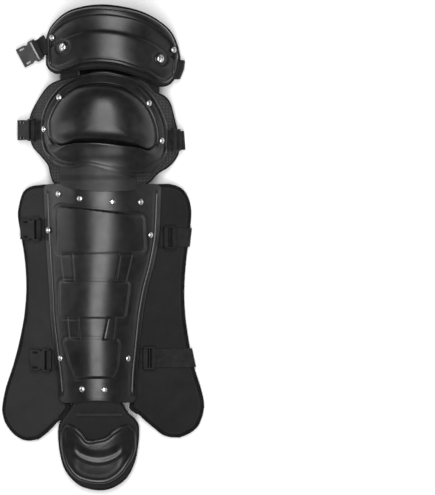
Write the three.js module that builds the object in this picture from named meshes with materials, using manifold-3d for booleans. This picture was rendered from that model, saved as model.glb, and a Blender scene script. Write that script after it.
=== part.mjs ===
// A catcher's leg guard lying on its back, front up. Millimetres; +Y runs to the thigh end, +Z is the front.
// It is drawn with X 0 on the shin plate's middle at its top and Y 0 at the shin plate's bottom edge.
// The last lines move it onto the bottom centre of its box.
import * as THREE from "three";
import Module from "manifold-3d";
import { mergeVertices } from "three/addons/utils/BufferGeometryUtils.js";

const wasm = await Module();
wasm.setup();

// Walls and clearances
const SHELL_WALL = 3;
const LOWER_PLATE_WALL = 2.6;
const PAD_THICKNESS = 9;
const WING_THICKNESS = 8;
const LINK_THICKNESS = 3;
const WEB = 1.8;
const SEAT = 0.3;
const PAD_JOINT = 0.5;

// Lengths along the leg
const SHIN_LENGTH = 325;
const LOWER_PLATE_LENGTH = 48;
const LOWER_PLATE_LAP = 12;
const KNEE_HEIGHT = 158;
const KNEE_LAP = 27;
const KNEE_PAD_HEIGHT = 168;
const KNEE_PAD_LAP = 6;
const THIGH_HEIGHT = 119;
const THIGH_LAP = 19.5;
const WING_LENGTH = 385;
const FLAP_LENGTH = 146;
const FLAP_LAP = 12;
const TOE_CAP_LENGTH = 91;

// Widths across the leg
const SHIN_WIDTH = 177;
const SHIN_SWAY = 9;
const LOWER_PLATE_WIDTH = 114;
const KNEE_WIDTH = 191;
const KNEE_PAD_WIDTH = 228;
const THIGH_WIDTH = 204;
const WING_SPAN = 302;
const FLAP_WIDTH = 125;
const TOE_CAP_WIDTH = 114;
const LINK_WIDTH = 27;

// Heights of the padding's front above the floor
const SHIN_CROWN = 78;
const SHIN_SIDE = 28;
const KNEE_CROWN = 84;
const KNEE_SIDE = 35;
const THIGH_CROWN = 74;
const THIGH_SIDE = 15;
const FLAP_CROWN = 36;
const FLAP_SIDE = 17;
const ARCH_POWER = 2.3;
const FLARE_POWER = 1.7;
const FLARE_REACH = 46;

// Moulded relief
const DOME_RISE = 20;
const KNEE_FLANGE_RISE = 2.5;
const PANEL_RISE = 3.5;
const EDGE_RIDGE_RISE = 1.6;
const THIGH_RIM_RISE = 6;
const TOE_CAP_RISE = 6;
const CAP_INSET = 3;

// Straps and fastenings
const STRAP_WIDTH = 28;
const RAIL = 2;
const HARDWARE_WIDTH = STRAP_WIDTH + 2 * (RAIL + 2 * SEAT);
const BUCKLE_LENGTH = 31;
const BUCKLE_THICKNESS = 8;
const LOCK_LENGTH = 17;
const LOCK_THICKNESS = 4.5;
const BAR = 3.6;
const BAR_SLOT = 4.2;
const TAB_TUCK = 17;
const CLIP_LENGTH = 36;
const RIVET_RADIUS = 4.7;
const RIVET_RISE = 2.6;
const SCREW_RADIUS = 6;
const SCREW_RISE = 2.2;
const SCREW_SLOT = 1.4;

// The layers that lie on the padding: webbing first, then the shells
const SHELL_FLOOR = WEB + 2 * SEAT;
const SHELL_FACE = SHELL_FLOOR + SHELL_WALL;
const STRAP_TOP = WEB;
const WING_FLOOR = STRAP_TOP + SEAT;

// Places along the leg
const shinAt = (up) => up * SHIN_LENGTH;
const LOWER_PLATE_BOTTOM = SHIN_LENGTH - LOWER_PLATE_LAP;
const LOWER_PLATE_TOP = LOWER_PLATE_BOTTOM + LOWER_PLATE_LENGTH;
const KNEE_BOTTOM = LOWER_PLATE_TOP - KNEE_LAP;
const KNEE_MIDDLE = KNEE_BOTTOM + KNEE_HEIGHT / 2;
const KNEE_TOP = KNEE_BOTTOM + KNEE_HEIGHT;
const KNEE_PAD_BOTTOM = SHIN_LENGTH - KNEE_PAD_LAP;
const KNEE_PAD_MIDDLE = KNEE_PAD_BOTTOM + KNEE_PAD_HEIGHT / 2;
const THIGH_BOTTOM = KNEE_TOP - THIGH_LAP;
const THIGH_MIDDLE = THIGH_BOTTOM + THIGH_HEIGHT / 2;
const FLAP_TOP = FLAP_LAP;
const FLAP_BOTTOM = FLAP_TOP - FLAP_LENGTH;
const FLAP_MIDDLE = (FLAP_TOP + FLAP_BOTTOM) / 2;

// How far each part's middle lies to the side of the shin plate's middle
const KNEE_SHIFT = 3;
const KNEE_PAD_SHIFT = 1.5;
const THIGH_SHIFT = 14.5;
const FLAP_SHIFT = -6.5;

const kneeAt = (up) => KNEE_BOTTOM + up * KNEE_HEIGHT;
const thighAt = (up) => THIGH_BOTTOM + up * THIGH_HEIGHT;
const flapAt = (down) => FLAP_TOP - down * FLAP_LENGTH;

// Rows of numbers under named columns
function tableOf(columns, rows) {
  return rows.map((row) => Object.fromEntries(columns.map((column, n) => [column, row[n]])));
}

// The padding's front, as arches across the leg: where, how far the middle sways, half width and heights
const ARCHES = tableOf(["y", "sway", "half", "crown", "side"], [
  [flapAt(1.0), FLAP_SHIFT, FLAP_WIDTH / 2, 0.55 * FLAP_CROWN, 0.8 * FLAP_SIDE],
  [flapAt(0.75), FLAP_SHIFT, FLAP_WIDTH / 2, 0.8 * FLAP_CROWN, 0.9 * FLAP_SIDE],
  [flapAt(0.45), FLAP_SHIFT, FLAP_WIDTH / 2, 1.12 * FLAP_CROWN, FLAP_SIDE],
  [flapAt(0.2), FLAP_SHIFT, 0.97 * FLAP_WIDTH / 2, 0.7 * SHIN_CROWN, 0.72 * SHIN_SIDE],
  [shinAt(0.0), -0.8 * SHIN_SWAY, 0.655 * SHIN_WIDTH / 2, 0.78 * SHIN_CROWN, 0.78 * SHIN_SIDE],
  [shinAt(0.1), -0.9 * SHIN_SWAY, 0.67 * SHIN_WIDTH / 2, 0.8 * SHIN_CROWN, 0.8 * SHIN_SIDE],
  [shinAt(0.23), -0.97 * SHIN_SWAY, 0.72 * SHIN_WIDTH / 2, 0.85 * SHIN_CROWN, 0.84 * SHIN_SIDE],
  [shinAt(0.37), -SHIN_SWAY, 0.775 * SHIN_WIDTH / 2, 0.89 * SHIN_CROWN, 0.88 * SHIN_SIDE],
  [shinAt(0.51), -0.72 * SHIN_SWAY, 0.83 * SHIN_WIDTH / 2, 0.93 * SHIN_CROWN, 0.92 * SHIN_SIDE],
  [shinAt(0.645), -0.26 * SHIN_SWAY, 0.91 * SHIN_WIDTH / 2, 0.96 * SHIN_CROWN, 0.96 * SHIN_SIDE],
  [shinAt(0.785), 0, 0.965 * SHIN_WIDTH / 2, 0.98 * SHIN_CROWN, SHIN_SIDE],
  [shinAt(1.0), 0, SHIN_WIDTH / 2, SHIN_CROWN, SHIN_SIDE],
  [kneeAt(0.12), 0.6 * KNEE_SHIFT, 0.95 * KNEE_WIDTH / 2, 0.96 * KNEE_CROWN, 0.9 * KNEE_SIDE],
  [kneeAt(0.5), KNEE_SHIFT, KNEE_WIDTH / 2, KNEE_CROWN, KNEE_SIDE],
  [kneeAt(0.85), 1.8 * KNEE_SHIFT, 0.98 * KNEE_WIDTH / 2, 0.95 * KNEE_CROWN, 0.8 * KNEE_SIDE],
  [thighAt(0.3), 0.9 * THIGH_SHIFT, THIGH_WIDTH / 2, THIGH_CROWN, 1.15 * THIGH_SIDE],
  [thighAt(0.6), THIGH_SHIFT, THIGH_WIDTH / 2, 0.98 * THIGH_CROWN, THIGH_SIDE],
  [thighAt(1.0), THIGH_SHIFT, THIGH_WIDTH / 2, 0.9 * THIGH_CROWN, THIGH_SIDE],
]);

const clamp = THREE.MathUtils.clamp;
const lerp = THREE.MathUtils.lerp;
const smooth = THREE.MathUtils.smoothstep;

// A value of a table at y, along a curve that never overshoots its rows
function alongTable(rows, key, y) {
  const last = rows.length - 1;
  if (y <= rows[0].y) return rows[0][key];
  if (y >= rows[last].y) return rows[last][key];
  const i = rows.findIndex((row, n) => n < last && y < rows[n + 1].y);
  const slope = (n) => {
    if (n <= 0 || n >= last) return 0;
    const before = (rows[n][key] - rows[n - 1][key]) / (rows[n].y - rows[n - 1].y);
    const after = (rows[n + 1][key] - rows[n][key]) / (rows[n + 1].y - rows[n].y);
    return before * after <= 0 ? 0 : (2 * before * after) / (before + after);
  };
  const step = rows[i + 1].y - rows[i].y;
  const t = (y - rows[i].y) / step;
  const stay = (1 + 2 * t) * (1 - t) ** 2 * rows[i][key];
  const reach = t * t * (3 - 2 * t) * rows[i + 1][key];
  return stay + reach + step * (t * (1 - t) ** 2 * slope(i) - t * t * (1 - t) * slope(i + 1));
}

function archAt(y) {
  return {
    sway: alongTable(ARCHES, "sway", y),
    half: alongTable(ARCHES, "half", y),
    crown: alongTable(ARCHES, "crown", y),
    side: alongTable(ARCHES, "side", y),
  };
}

// Height of the padding's front, which runs on down past the arch's edge
function padFront(x, y) {
  const arch = archAt(y);
  const share = Math.abs(x - arch.sway) / arch.half;
  return arch.side + (arch.crown - arch.side) * (1 - share ** ARCH_POWER);
}

// The padding's front on the shin, which flares out to the floor past the plate's edge
function wingFront(x, y) {
  const arch = archAt(y);
  const past = Math.abs(x - arch.sway) - arch.half;
  if (past <= 0) return padFront(x, y);
  const rest = WING_FLOOR + WING_THICKNESS;
  return rest + (arch.side - rest) * (1 - Math.min(past / FLARE_REACH, 1)) ** FLARE_POWER;
}

const groundedFront = (x, y) => Math.max(padFront(x, y), WING_FLOOR);

function normalOf(front, x, y) {
  const step = 0.5;
  const dx = (front(x + step, y) - front(x - step, y)) / (2 * step);
  const dy = (front(x, y + step) - front(x, y - step)) / (2 * step);
  return new THREE.Vector3(-dx, -dy, 1).normalize();
}

// The point at a distance in front of a surface, straight above x and y
function raised(front, x, y, layer, relief = 0) {
  const up = normalOf(front, x, y);
  return new THREE.Vector3(x, y, front(x, y) + layer / up.z + relief);
}

// The same point moved back through a wall, square to the surface
function behind(front, point, wall) {
  return point.clone().addScaledVector(normalOf(front, point.x, point.y), -wall);
}

function meshFrom(points, triangles) {
  const geometry = new THREE.BufferGeometry();
  const numbers = points.flatMap((p) => [p.x, p.y, p.z]);
  geometry.setAttribute("position", new THREE.Float32BufferAttribute(numbers, 3));
  geometry.setIndex(triangles.flat());
  return geometry;
}

// A closed sheet between two grids of points: rows run from bottom to top, and columns from left to right
function sheetSolid(faceRows, backRows) {
  const rows = faceRows.length;
  const columns = faceRows[0].length;
  const back = rows * columns;
  const at = (r, c) => r * columns + c;
  const triangles = [];
  const quad = (a, b, c, d) => triangles.push([a, b, c], [a, c, d]);
  for (let r = 0; r < rows - 1; r++) {
    for (let c = 0; c < columns - 1; c++) {
      quad(at(r, c), at(r, c + 1), at(r + 1, c + 1), at(r + 1, c));
      quad(back + at(r, c), back + at(r + 1, c), back + at(r + 1, c + 1), back + at(r, c + 1));
    }
  }
  for (let c = 0; c < columns - 1; c++) {
    quad(at(0, c + 1), at(0, c), back + at(0, c), back + at(0, c + 1));
    quad(at(rows - 1, c), at(rows - 1, c + 1), back + at(rows - 1, c + 1), back + at(rows - 1, c));
  }
  for (let r = 0; r < rows - 1; r++) {
    quad(at(r, 0), at(r + 1, 0), back + at(r + 1, 0), back + at(r, 0));
    const [low, high] = [at(r, columns - 1), at(r + 1, columns - 1)];
    quad(high, low, back + low, back + high);
  }
  return meshFrom([...faceRows.flat(), ...backRows.flat()], triangles);
}

// A closed shell between two round grids: a centre point, then rings that run anticlockwise from the front
function roundSolid(faceCentre, faceRings, backCentre, backRings) {
  const around = faceRings[0].length;
  const rings = faceRings.length;
  const back = 1 + rings * around;
  const at = (ring, k) => 1 + ring * around + (k % around);
  const triangles = [];
  for (let k = 0; k < around; k++) {
    triangles.push([0, at(0, k), at(0, k + 1)], [back, back + at(0, k + 1), back + at(0, k)]);
    for (let ring = 0; ring < rings - 1; ring++) {
      const [a, b, c, d] = [at(ring, k), at(ring + 1, k), at(ring + 1, k + 1), at(ring, k + 1)];
      triangles.push([a, b, c], [a, c, d], [back + a, back + c, back + b], [back + a, back + d, back + c]);
    }
    const [outer, next] = [at(rings - 1, k), at(rings - 1, k + 1)];
    triangles.push([outer, back + outer, back + next], [outer, back + next, next]);
  }
  return meshFrom([faceCentre, ...faceRings.flat(), backCentre, ...backRings.flat()], triangles);
}

// A smooth closed outline through a table of shares of a width and a height
function outlineCurve(table, middle, width, height) {
  const points = table.map(([x, y]) => new THREE.Vector3(middle.x + x * width, middle.y + y * height, 0));
  return new THREE.CatmullRomCurve3(points, true, "centripetal");
}

function evenPoints(curve, count) {
  curve.arcLengthDivisions = 600;
  return curve.getSpacedPoints(count).slice(0, count).map((p) => new THREE.Vector2(p.x, p.y));
}

// Where the line from a middle through a point meets a closed outline
function meetOutline(outline, middle, point) {
  const way = new THREE.Vector2(point.x - middle.x, point.y - middle.y).normalize();
  for (let k = 0; k < outline.length; k++) {
    const a = outline[k];
    const b = outline[(k + 1) % outline.length];
    const edge = new THREE.Vector2(b.x - a.x, b.y - a.y);
    const across = way.x * edge.y - way.y * edge.x;
    const reach = ((a.x - middle.x) * edge.y - (a.y - middle.y) * edge.x) / across;
    const share = ((a.x - middle.x) * way.y - (a.y - middle.y) * way.x) / across;
    if (reach > 0 && share >= 0 && share <= 1) return way.multiplyScalar(reach).add(middle);
  }
  return point.clone();
}

const between = (a, b, t) => new THREE.Vector2(lerp(a.x, b.x, t), lerp(a.y, b.y, t));

const BLACK_SHELL = { color: 0x17171a, roughness: 0.38, metalness: 0.0 };
const BLACK_PAD = { color: 0x1b1b1d, roughness: 0.9, metalness: 0.0 };
const GREY_WING = { color: 0x29292b, roughness: 0.92, metalness: 0.0 };
const BLACK_WEB = { color: 0x121213, roughness: 0.85, metalness: 0.0 };
const BLACK_CLIP = { color: 0x1d1d1f, roughness: 0.5, metalness: 0.0 };
const NICKEL = { color: 0xd4d4d0, roughness: 0.25, metalness: 1.0 };

const group = new THREE.Group();
function addPiece(name, geometry, look) {
  const mesh = new THREE.Mesh(geometry, new THREE.MeshStandardMaterial(look));
  mesh.name = name;
  group.add(mesh);
  return mesh;
}

// Thigh piece: columns across it, with the outline's bottom and top as shares of its width and height
const THIGH_COLUMNS = [
  { bottom: [-0.488, -0.23], top: [-0.492, 0.085] },
  { bottom: [-0.46, -0.3], top: [-0.473, 0.19] },
  { bottom: [-0.407, -0.342], top: [-0.43, 0.295] },
  { bottom: [-0.326, -0.317], top: [-0.341, 0.415] },
  { bottom: [-0.223, -0.265], top: [-0.223, 0.477] },
  { bottom: [-0.091, -0.248], top: [-0.076, 0.5] },
  { bottom: [0.056, -0.275], top: [0.07, 0.478] },
  { bottom: [0.203, -0.355], top: [0.203, 0.428] },
  { bottom: [0.291, -0.412], top: [0.313, 0.346] },
  { bottom: [0.35, -0.475], top: [0.402, 0.239] },
  { bottom: [0.409, -0.494], top: [0.449, 0.138] },
  { bottom: [0.456, -0.418], top: [0.48, 0.011] },
  { bottom: [0.486, -0.298], top: [0.497, -0.128] },
];

// Rows up the thigh cap: how far up, and the relief there as a share of the rim's rise
const THIGH_ROWS = [
  { name: "bottom edge", up: 0.0, relief: 0 },
  { name: "lip", up: 0.035, relief: 0.55 },
  { name: "lip top", up: 0.085, relief: 0.6 },
  { name: "lower crease", up: 0.125, relief: 0.2 },
  { name: "band foot", up: 0.17, relief: 0.55 },
  { name: "band", up: 0.35, relief: 0.62 },
  { name: "band top", up: 0.52, relief: 0.6 },
  { name: "upper crease", up: 0.58, relief: 0.05 },
  { name: "dish", up: 0.72, relief: 0.05 },
  { name: "dish top", up: 0.83, relief: 0.25 },
  { name: "rim", up: 0.885, relief: 0.95 },
  { name: "rim crest", up: 0.95, relief: 1.0 },
  { name: "top edge", up: 1.0, relief: 0 },
];

function thighPoint(across, up, inset) {
  const last = THIGH_COLUMNS.length - 1;
  const place = clamp(across, 0, 1) * last;
  const i = Math.min(Math.floor(place), last - 1);
  const share = (end, axis) => {
    const value = (n) => THIGH_COLUMNS[clamp(n, 0, last)][end][axis];
    const t = place - i;
    const [p, a, b, q] = [value(i - 1), value(i), value(i + 1), value(i + 2)];
    const bend = (2 * p - 5 * a + 4 * b - q) * t * t;
    return 0.5 * (2 * a + (b - p) * t + bend + (3 * a - p - 3 * b + q) * t ** 3);
  };
  const wide = THIGH_WIDTH - 2 * inset;
  const tall = THIGH_HEIGHT - 2 * inset;
  const x = THIGH_SHIFT + wide * lerp(share("bottom", 0), share("top", 0), up);
  const y = THIGH_MIDDLE + tall * lerp(share("bottom", 1), share("top", 1), up);
  return new THREE.Vector2(x, y);
}

// The rim also runs down both sides of the cap
const SIDE_RIM = 0.09;
function thighRelief(across, rowRelief) {
  const side = Math.min(across, 1 - across);
  const rim = smooth(side, 0, SIDE_RIM / 2);
  const atSide = rim * Math.max(rowRelief, 0.5);
  return THIGH_RIM_RISE * lerp(atSide, rowRelief, smooth(side, SIDE_RIM / 2, 2 * SIDE_RIM));
}

function thighGrid(columns, rows, inset, layer, reliefOf) {
  return rows.map((row) => columns.map((across) => {
    const p = thighPoint(across, row.up, inset);
    return raised(padFront, p.x, p.y, layer, reliefOf(across, row.relief));
  }));
}

const evenShares = (count) => Array.from({ length: count + 1 }, (_, n) => n / count);
const THIGH_CAP_COLUMNS = [0, 0.035, 0.08, 0.14, ...evenShares(12).slice(2, 11), 0.86, 0.92, 0.965, 1];

function thighCap() {
  const face = thighGrid(THIGH_CAP_COLUMNS, THIGH_ROWS, CAP_INSET, SHELL_FACE, thighRelief);
  const back = face.map((row) => row.map((p) => behind(padFront, p, SHELL_WALL)));
  return sheetSolid(face, back);
}

function thighPad() {
  const rows = [0, 0.05, 0.2, 0.35, 0.6, 0.95, 1].map((up) => ({ up }));
  const columns = [0, 0.03, ...evenShares(12).slice(1, 12), 0.97, 1];
  const face = thighGrid(columns, rows, 0, 0, () => 0);
  return softSheet(padFront, face, PAD_THICKNESS);
}

// A padded sheet whose edges are pressed thinner than its middle
const EDGE_SHARE = 0.3;
function softSheet(front, face, thickness) {
  const lastRow = face.length - 1;
  const lastColumn = face[0].length - 1;
  const onEdge = (r, c) => r === 0 || c === 0 || r === lastRow || c === lastColumn;
  const pressed = (r, c) => (onEdge(r, c) ? EDGE_SHARE * thickness : 0);
  const back = face.map((row, r) => row.map((p, c) => behind(front, p, thickness - pressed(r, c))));
  const outer = face.map((row, r) => row.map((p, c) => behind(front, p, pressed(r, c))));
  return sheetSolid(outer, back);
}

// Knee cap: its outline and the dome's, anticlockwise from the top, as shares of its width and height
const KNEE_OUTLINE = [
  [-0.015, 0.5], [-0.195, 0.45], [-0.35, 0.35], [-0.46, 0.18], [-0.5, -0.03], [-0.47, -0.245],
  [-0.38, -0.375], [-0.27, -0.41], [-0.115, -0.39], [0.04, -0.43], [0.2, -0.48], [0.275, -0.5],
  [0.355, -0.485], [0.44, -0.385], [0.49, -0.245], [0.495, -0.03], [0.45, 0.135], [0.355, 0.315],
  [0.235, 0.43], [0.08, 0.485],
];
const DOME_OUTLINE = [
  [-0.015, 0.375], [-0.155, 0.36], [-0.235, 0.325], [-0.335, 0.23], [-0.42, 0.04], [-0.42, -0.055],
  [-0.405, -0.13], [-0.335, -0.19], [-0.195, -0.165], [-0.035, -0.165], [0.12, -0.18], [0.275, -0.215],
  [0.355, -0.24], [0.4, -0.17], [0.4, -0.055], [0.38, 0.04], [0.34, 0.145], [0.275, 0.24],
  [0.2, 0.305], [0.12, 0.35],
];

// The lower knee plate rides over the shin plate's top, and the knee cap over the lower knee plate
const LAP_RISE = SHELL_FACE + 2 * SEAT - SHELL_FLOOR;
const SHIN_STEP = [SHIN_LENGTH + 2, SHIN_LENGTH + 16];
const LOWER_PLATE_STEP = [LOWER_PLATE_TOP + 3, LOWER_PLATE_TOP + 26];
const lowerPlateFloor = (y) => SHELL_FLOOR + LAP_RISE * (1 - smooth(y, ...SHIN_STEP));
function kneeFloor(y) {
  const over = lowerPlateFloor(y) + LOWER_PLATE_WALL + 3 * SEAT - SHELL_FLOOR;
  return SHELL_FLOOR + over * (1 - smooth(y, ...LOWER_PLATE_STEP));
}

const KNEE_AROUND = 40;
// Rings of the knee cap from the dome's middle: share to the dome's edge, then from it to the outline
const DOME_RINGS = [0.35, 0.62, 0.82, 0.94, 1.0];
const FLANGE_RINGS = [0.22, 0.55, 0.72, 1.0];
const domeShape = (share) => (1 - share ** 4) ** 0.6;
function flangeShape(share) {
  return smooth(share, 0.05, 0.3) * (1 - smooth(share, 0.58, 0.74));
}

function kneeCap() {
  const middle = new THREE.Vector2(KNEE_SHIFT, KNEE_MIDDLE);
  const heart = new THREE.Vector2(KNEE_SHIFT, KNEE_MIDDLE + 0.06 * KNEE_HEIGHT);
  const edge = evenPoints(outlineCurve(KNEE_OUTLINE, middle, KNEE_WIDTH, KNEE_HEIGHT), KNEE_AROUND);
  const domeLine = evenPoints(outlineCurve(DOME_OUTLINE, middle, KNEE_WIDTH, KNEE_HEIGHT), 4 * KNEE_AROUND);
  const dome = edge.map((p) => meetOutline(domeLine, heart, p));
  const put = (p, relief) => raised(padFront, p.x, p.y, kneeFloor(p.y) + SHELL_WALL, relief);
  const domePoint = (p, share) => put(between(heart, p, share), DOME_RISE * domeShape(share));
  const flangePoint = (p, q, share) => put(between(p, q, share), KNEE_FLANGE_RISE * flangeShape(share));
  const face = [
    ...DOME_RINGS.map((share) => dome.map((p) => domePoint(p, share))),
    ...FLANGE_RINGS.map((share) => dome.map((p, k) => flangePoint(p, edge[k], share))),
  ];
  const top = put(heart, DOME_RISE);
  const back = face.map((ring) => ring.map((p) => behind(padFront, p, SHELL_WALL)));
  return roundSolid(top, face, behind(padFront, top, SHELL_WALL), back);
}

const KNEE_PAD_OUTLINE = [
  [-0.01, 0.5], [-0.16, 0.5], [-0.285, 0.465], [-0.37, 0.415], [-0.445, 0.285], [-0.495, 0.15],
  [-0.5, 0.03], [-0.48, -0.12], [-0.42, -0.215], [-0.37, -0.3], [-0.355, -0.38], [-0.335, -0.45],
  [-0.275, -0.495], [-0.01, -0.5], [0.25, -0.5], [0.315, -0.445], [0.37, -0.37], [0.435, -0.31],
  [0.495, -0.2], [0.5, -0.06], [0.47, 0.14], [0.44, 0.275], [0.405, 0.325], [0.355, 0.355],
  [0.28, 0.45], [0.15, 0.49],
];

// A padded round piece with a pressed edge, in rings from its middle to its outline
function softRound(front, outline, middle, shares, layer, thickness) {
  const pressed = (share) => (share === 1 ? EDGE_SHARE * thickness : 0);
  const ringAt = (share) => outline.map((p) => {
    const q = between(middle, p, share);
    return raised(front, q.x, q.y, layer);
  });
  const rings = shares.map(ringAt);
  const face = rings.map((ring, n) => ring.map((p) => behind(front, p, pressed(shares[n]))));
  const back = rings.map((ring, n) => ring.map((p) => behind(front, p, thickness - pressed(shares[n]))));
  const centre = raised(front, middle.x, middle.y, layer);
  return roundSolid(centre, face, behind(front, centre, thickness), back);
}

const kneePadCentre = new THREE.Vector2(KNEE_PAD_SHIFT, KNEE_PAD_MIDDLE);
const kneePadCurve = () => outlineCurve(KNEE_PAD_OUTLINE, kneePadCentre, KNEE_PAD_WIDTH, KNEE_PAD_HEIGHT);

function kneePad() {
  const outline = evenPoints(kneePadCurve(), 36);
  return softRound(padFront, outline, kneePadCentre, [0.4, 0.75, 0.96, 1], 0, PAD_THICKNESS);
}

// Lower edge of the lower knee plate, left to right: across and up, as shares of its width and its lap
const LOWER_PLATE_EDGE = [
  { across: 0.0, up: 1.05 }, { across: 0.03, up: 0.75 }, { across: 0.12, up: 0.45 },
  { across: 0.24, up: 0.27 }, { across: 0.38, up: 0.1 }, { across: 0.56, up: 0.0 },
  { across: 0.75, up: 0.03 }, { across: 0.9, up: 0.08 }, { across: 0.97, up: 0.2 },
  { across: 1.0, up: 0.5 },
];

function lowerKneePlate() {
  const left = KNEE_SHIFT * 0.35 - 0.557 * LOWER_PLATE_WIDTH;
  const rows = [0, 0.2, 0.4, 0.7, 1];
  const face = rows.map((up) => LOWER_PLATE_EDGE.map((edge) => {
    const x = left + edge.across * LOWER_PLATE_WIDTH;
    const y = lerp(LOWER_PLATE_BOTTOM + edge.up * LOWER_PLATE_LAP, LOWER_PLATE_TOP, up);
    return raised(padFront, x, y, lowerPlateFloor(y) + LOWER_PLATE_WALL);
  }));
  return sheetSolid(face, face.map((row) => row.map((p) => behind(padFront, p, LOWER_PLATE_WALL))));
}

// Shin plate: rows up it, as shares of its length. stepLeft to stepRight is the low step round the spines and
// left to right the raised panel or strip, as shares of the half width. raise, step and ridge are shares of
// the panel's rise and of the edge ridge's rise, span narrows a row, and tilt slants it.
const SHIN_COLUMNS = [
  "up", "stepLeft", "left", "right", "stepRight", "raise", "step", "ridge", "span", "tilt",
];
const SHIN_ROWS = tableOf(SHIN_COLUMNS, [
  [0.0, -0.75, -0.55, 0.55, 0.75, 0, 0, 0, 0.92, 0],  // bottom edge
  [0.025, -0.75, -0.55, 0.55, 0.75, 0, 0, 0.3, 0.99, 0],  // bottom corner
  [0.065, -0.75, -0.55, 0.55, 0.75, 0, 0, 1, 1, 0],  // rivets
  [0.111, -0.75, -0.55, 0.5, 0.72, 0, 0, 1, 1, 0],  // low panel foot
  [0.136, -0.8, -0.58, 0.5, 0.72, 1, 0, 1, 1, 0],  // low panel bottom
  [0.205, -0.84, -0.7, 0.54, 0.74, 1, 0, 1, 1, 0],  // low panel
  [0.272, -0.86, -0.75, 0.53, 0.74, 1, 0, 1, 1, 0],  // low panel top
  [0.292, -0.6, -0.33, 0.17, 0.42, 0.4, 0.15, 1, 1, 0],  // low spine foot
  [0.37, -0.6, -0.36, 0.24, 0.44, 0.65, 0.25, 1, 1, 0],  // low spine
  [0.388, -0.8, -0.72, 0.6, 0.75, 0.05, 0, 1, 1, 0],  // middle panel foot
  [0.411, -0.86, -0.78, 0.63, 0.8, 1, 0, 1, 1, 0],  // middle panel bottom
  [0.465, -0.88, -0.81, 0.66, 0.82, 1, 0, 1, 1, 0],  // middle panel
  [0.534, -0.88, -0.8, 0.69, 0.83, 1, 0, 1, 1, 0],  // middle panel top
  [0.556, -0.7, -0.45, 0.33, 0.54, 0.4, 0.15, 1, 1, 0],  // high spine foot
  [0.66, -0.71, -0.49, 0.34, 0.57, 0.65, 0.25, 1, 1, 0],  // high spine
  [0.682, -0.84, -0.74, 0.7, 0.84, 0.05, 0, 1, 1, 0],  // high panel foot
  [0.706, -0.88, -0.8, 0.77, 0.86, 1, 0, 1, 1, 0],  // high panel bottom
  [0.78, -0.88, -0.82, 0.78, 0.86, 1, 0, 1, 1, -0.01],  // high panel
  [0.86, -0.88, -0.79, 0.75, 0.86, 1, 0, 1, 1, -0.024],  // high panel top
  [0.884, -0.86, -0.74, 0.7, 0.84, 0, 0, 1, 1, -0.024],  // high panel head
  [0.93, -0.8, -0.6, 0.6, 0.8, 0, 0, 0.7, 1, 0],  // rivets
  [0.98, -0.8, -0.6, 0.6, 0.8, 0, 0, 0.3, 1, 0],  // top corner
  [1.0, -0.8, -0.6, 0.6, 0.8, 0, 0, 0, 0.95, 0],  // top edge
]);
const BEVEL = 0.045;
const RIDGE_AT = 0.955;

function shinStations(row) {
  const panel = row.raise * PANEL_RISE;
  const step = row.step * PANEL_RISE;
  const ridge = row.ridge * EDGE_RIDGE_RISE;
  const inner = (share) => lerp(row.left, row.right, share);
  return [
    [-1, 0], [-RIDGE_AT, ridge], [-0.91, 0], [row.stepLeft, step],
    [(row.stepLeft + row.left - BEVEL) / 2, step], [row.left - BEVEL, step], [row.left, panel],
    [inner(0.25), panel], [inner(0.5), panel], [inner(0.75), panel],
    [row.right, panel], [row.right + BEVEL, step], [(row.stepRight + row.right + BEVEL) / 2, step],
    [row.stepRight, step], [0.91, 0], [RIDGE_AT, ridge], [1, 0],
  ];
}

function shinPlate() {
  const face = SHIN_ROWS.map((row) => shinStations(row).map(([across, relief]) => {
    const y = shinAt(row.up + row.tilt * across);
    const arch = archAt(y);
    return raised(padFront, arch.sway + across * row.span * arch.half, y, SHELL_FACE, relief);
  }));
  return sheetSolid(face, face.map((row) => row.map((p) => behind(padFront, p, SHELL_WALL))));
}

// The shin pad lies under the plate, and a wing joins each side of it, tucked under the plate's edge
const WING_TUCK = 6;
const SHIN_PAD_TOP = KNEE_PAD_BOTTOM - 4 * PAD_JOINT;
const SHIN_PAD_BOTTOM = FLAP_TOP + 4 * PAD_JOINT;

function shinPad() {
  const rows = [0, 0.02, ...evenShares(9).slice(1, 9), 0.98, 1];
  const columns = [-1, -0.94, -0.7, -0.4, 0, 0.4, 0.7, 0.94, 1];
  const face = rows.map((up) => columns.map((across) => {
    const y = lerp(SHIN_PAD_BOTTOM, SHIN_PAD_TOP, up);
    const arch = archAt(y);
    return raised(padFront, arch.sway + across * (arch.half - WING_TUCK - PAD_JOINT), y, 0);
  }));
  return softSheet(padFront, face, PAD_THICKNESS);
}

// Wings: rows down each from the shin plate's top. outer is the free edge and inner the edge by the plate,
// as shares of the wings' span across and the wing's length down. A row without inner runs along the plate.
const LEFT_WING_ROWS = [
  { outer: [-0.341, 0.006], innerDown: 0.002 },
  { outer: [-0.375, 0.014], innerDown: 0.018 },
  { outer: [-0.401, 0.034], innerDown: 0.042 },
  { outer: [-0.417, 0.075], innerDown: 0.08 },
  { outer: [-0.424, 0.125], innerDown: 0.125 },
  { outer: [-0.407, 0.207], innerDown: 0.207 },
  { outer: [-0.389, 0.307], innerDown: 0.307 },
  { outer: [-0.383, 0.41], innerDown: 0.41 },
  { outer: [-0.392, 0.51], innerDown: 0.51 },
  { outer: [-0.411, 0.6], innerDown: 0.6 },
  { outer: [-0.443, 0.7], innerDown: 0.7 },
  { outer: [-0.483, 0.797], innerDown: 0.785 },
  { outer: [-0.5, 0.868], inner: [-0.199, 0.835] },
  { outer: [-0.498, 0.9], inner: [-0.173, 0.862] },
  { outer: [-0.485, 0.932], inner: [-0.189, 0.89] },
  { outer: [-0.458, 0.963], inner: [-0.217, 0.915] },
  { outer: [-0.429, 0.984], inner: [-0.24, 0.935] },
  { outer: [-0.398, 0.997], inner: [-0.277, 0.966] },
  { outer: [-0.367, 1.001], inner: [-0.323, 0.995] },
];
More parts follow.
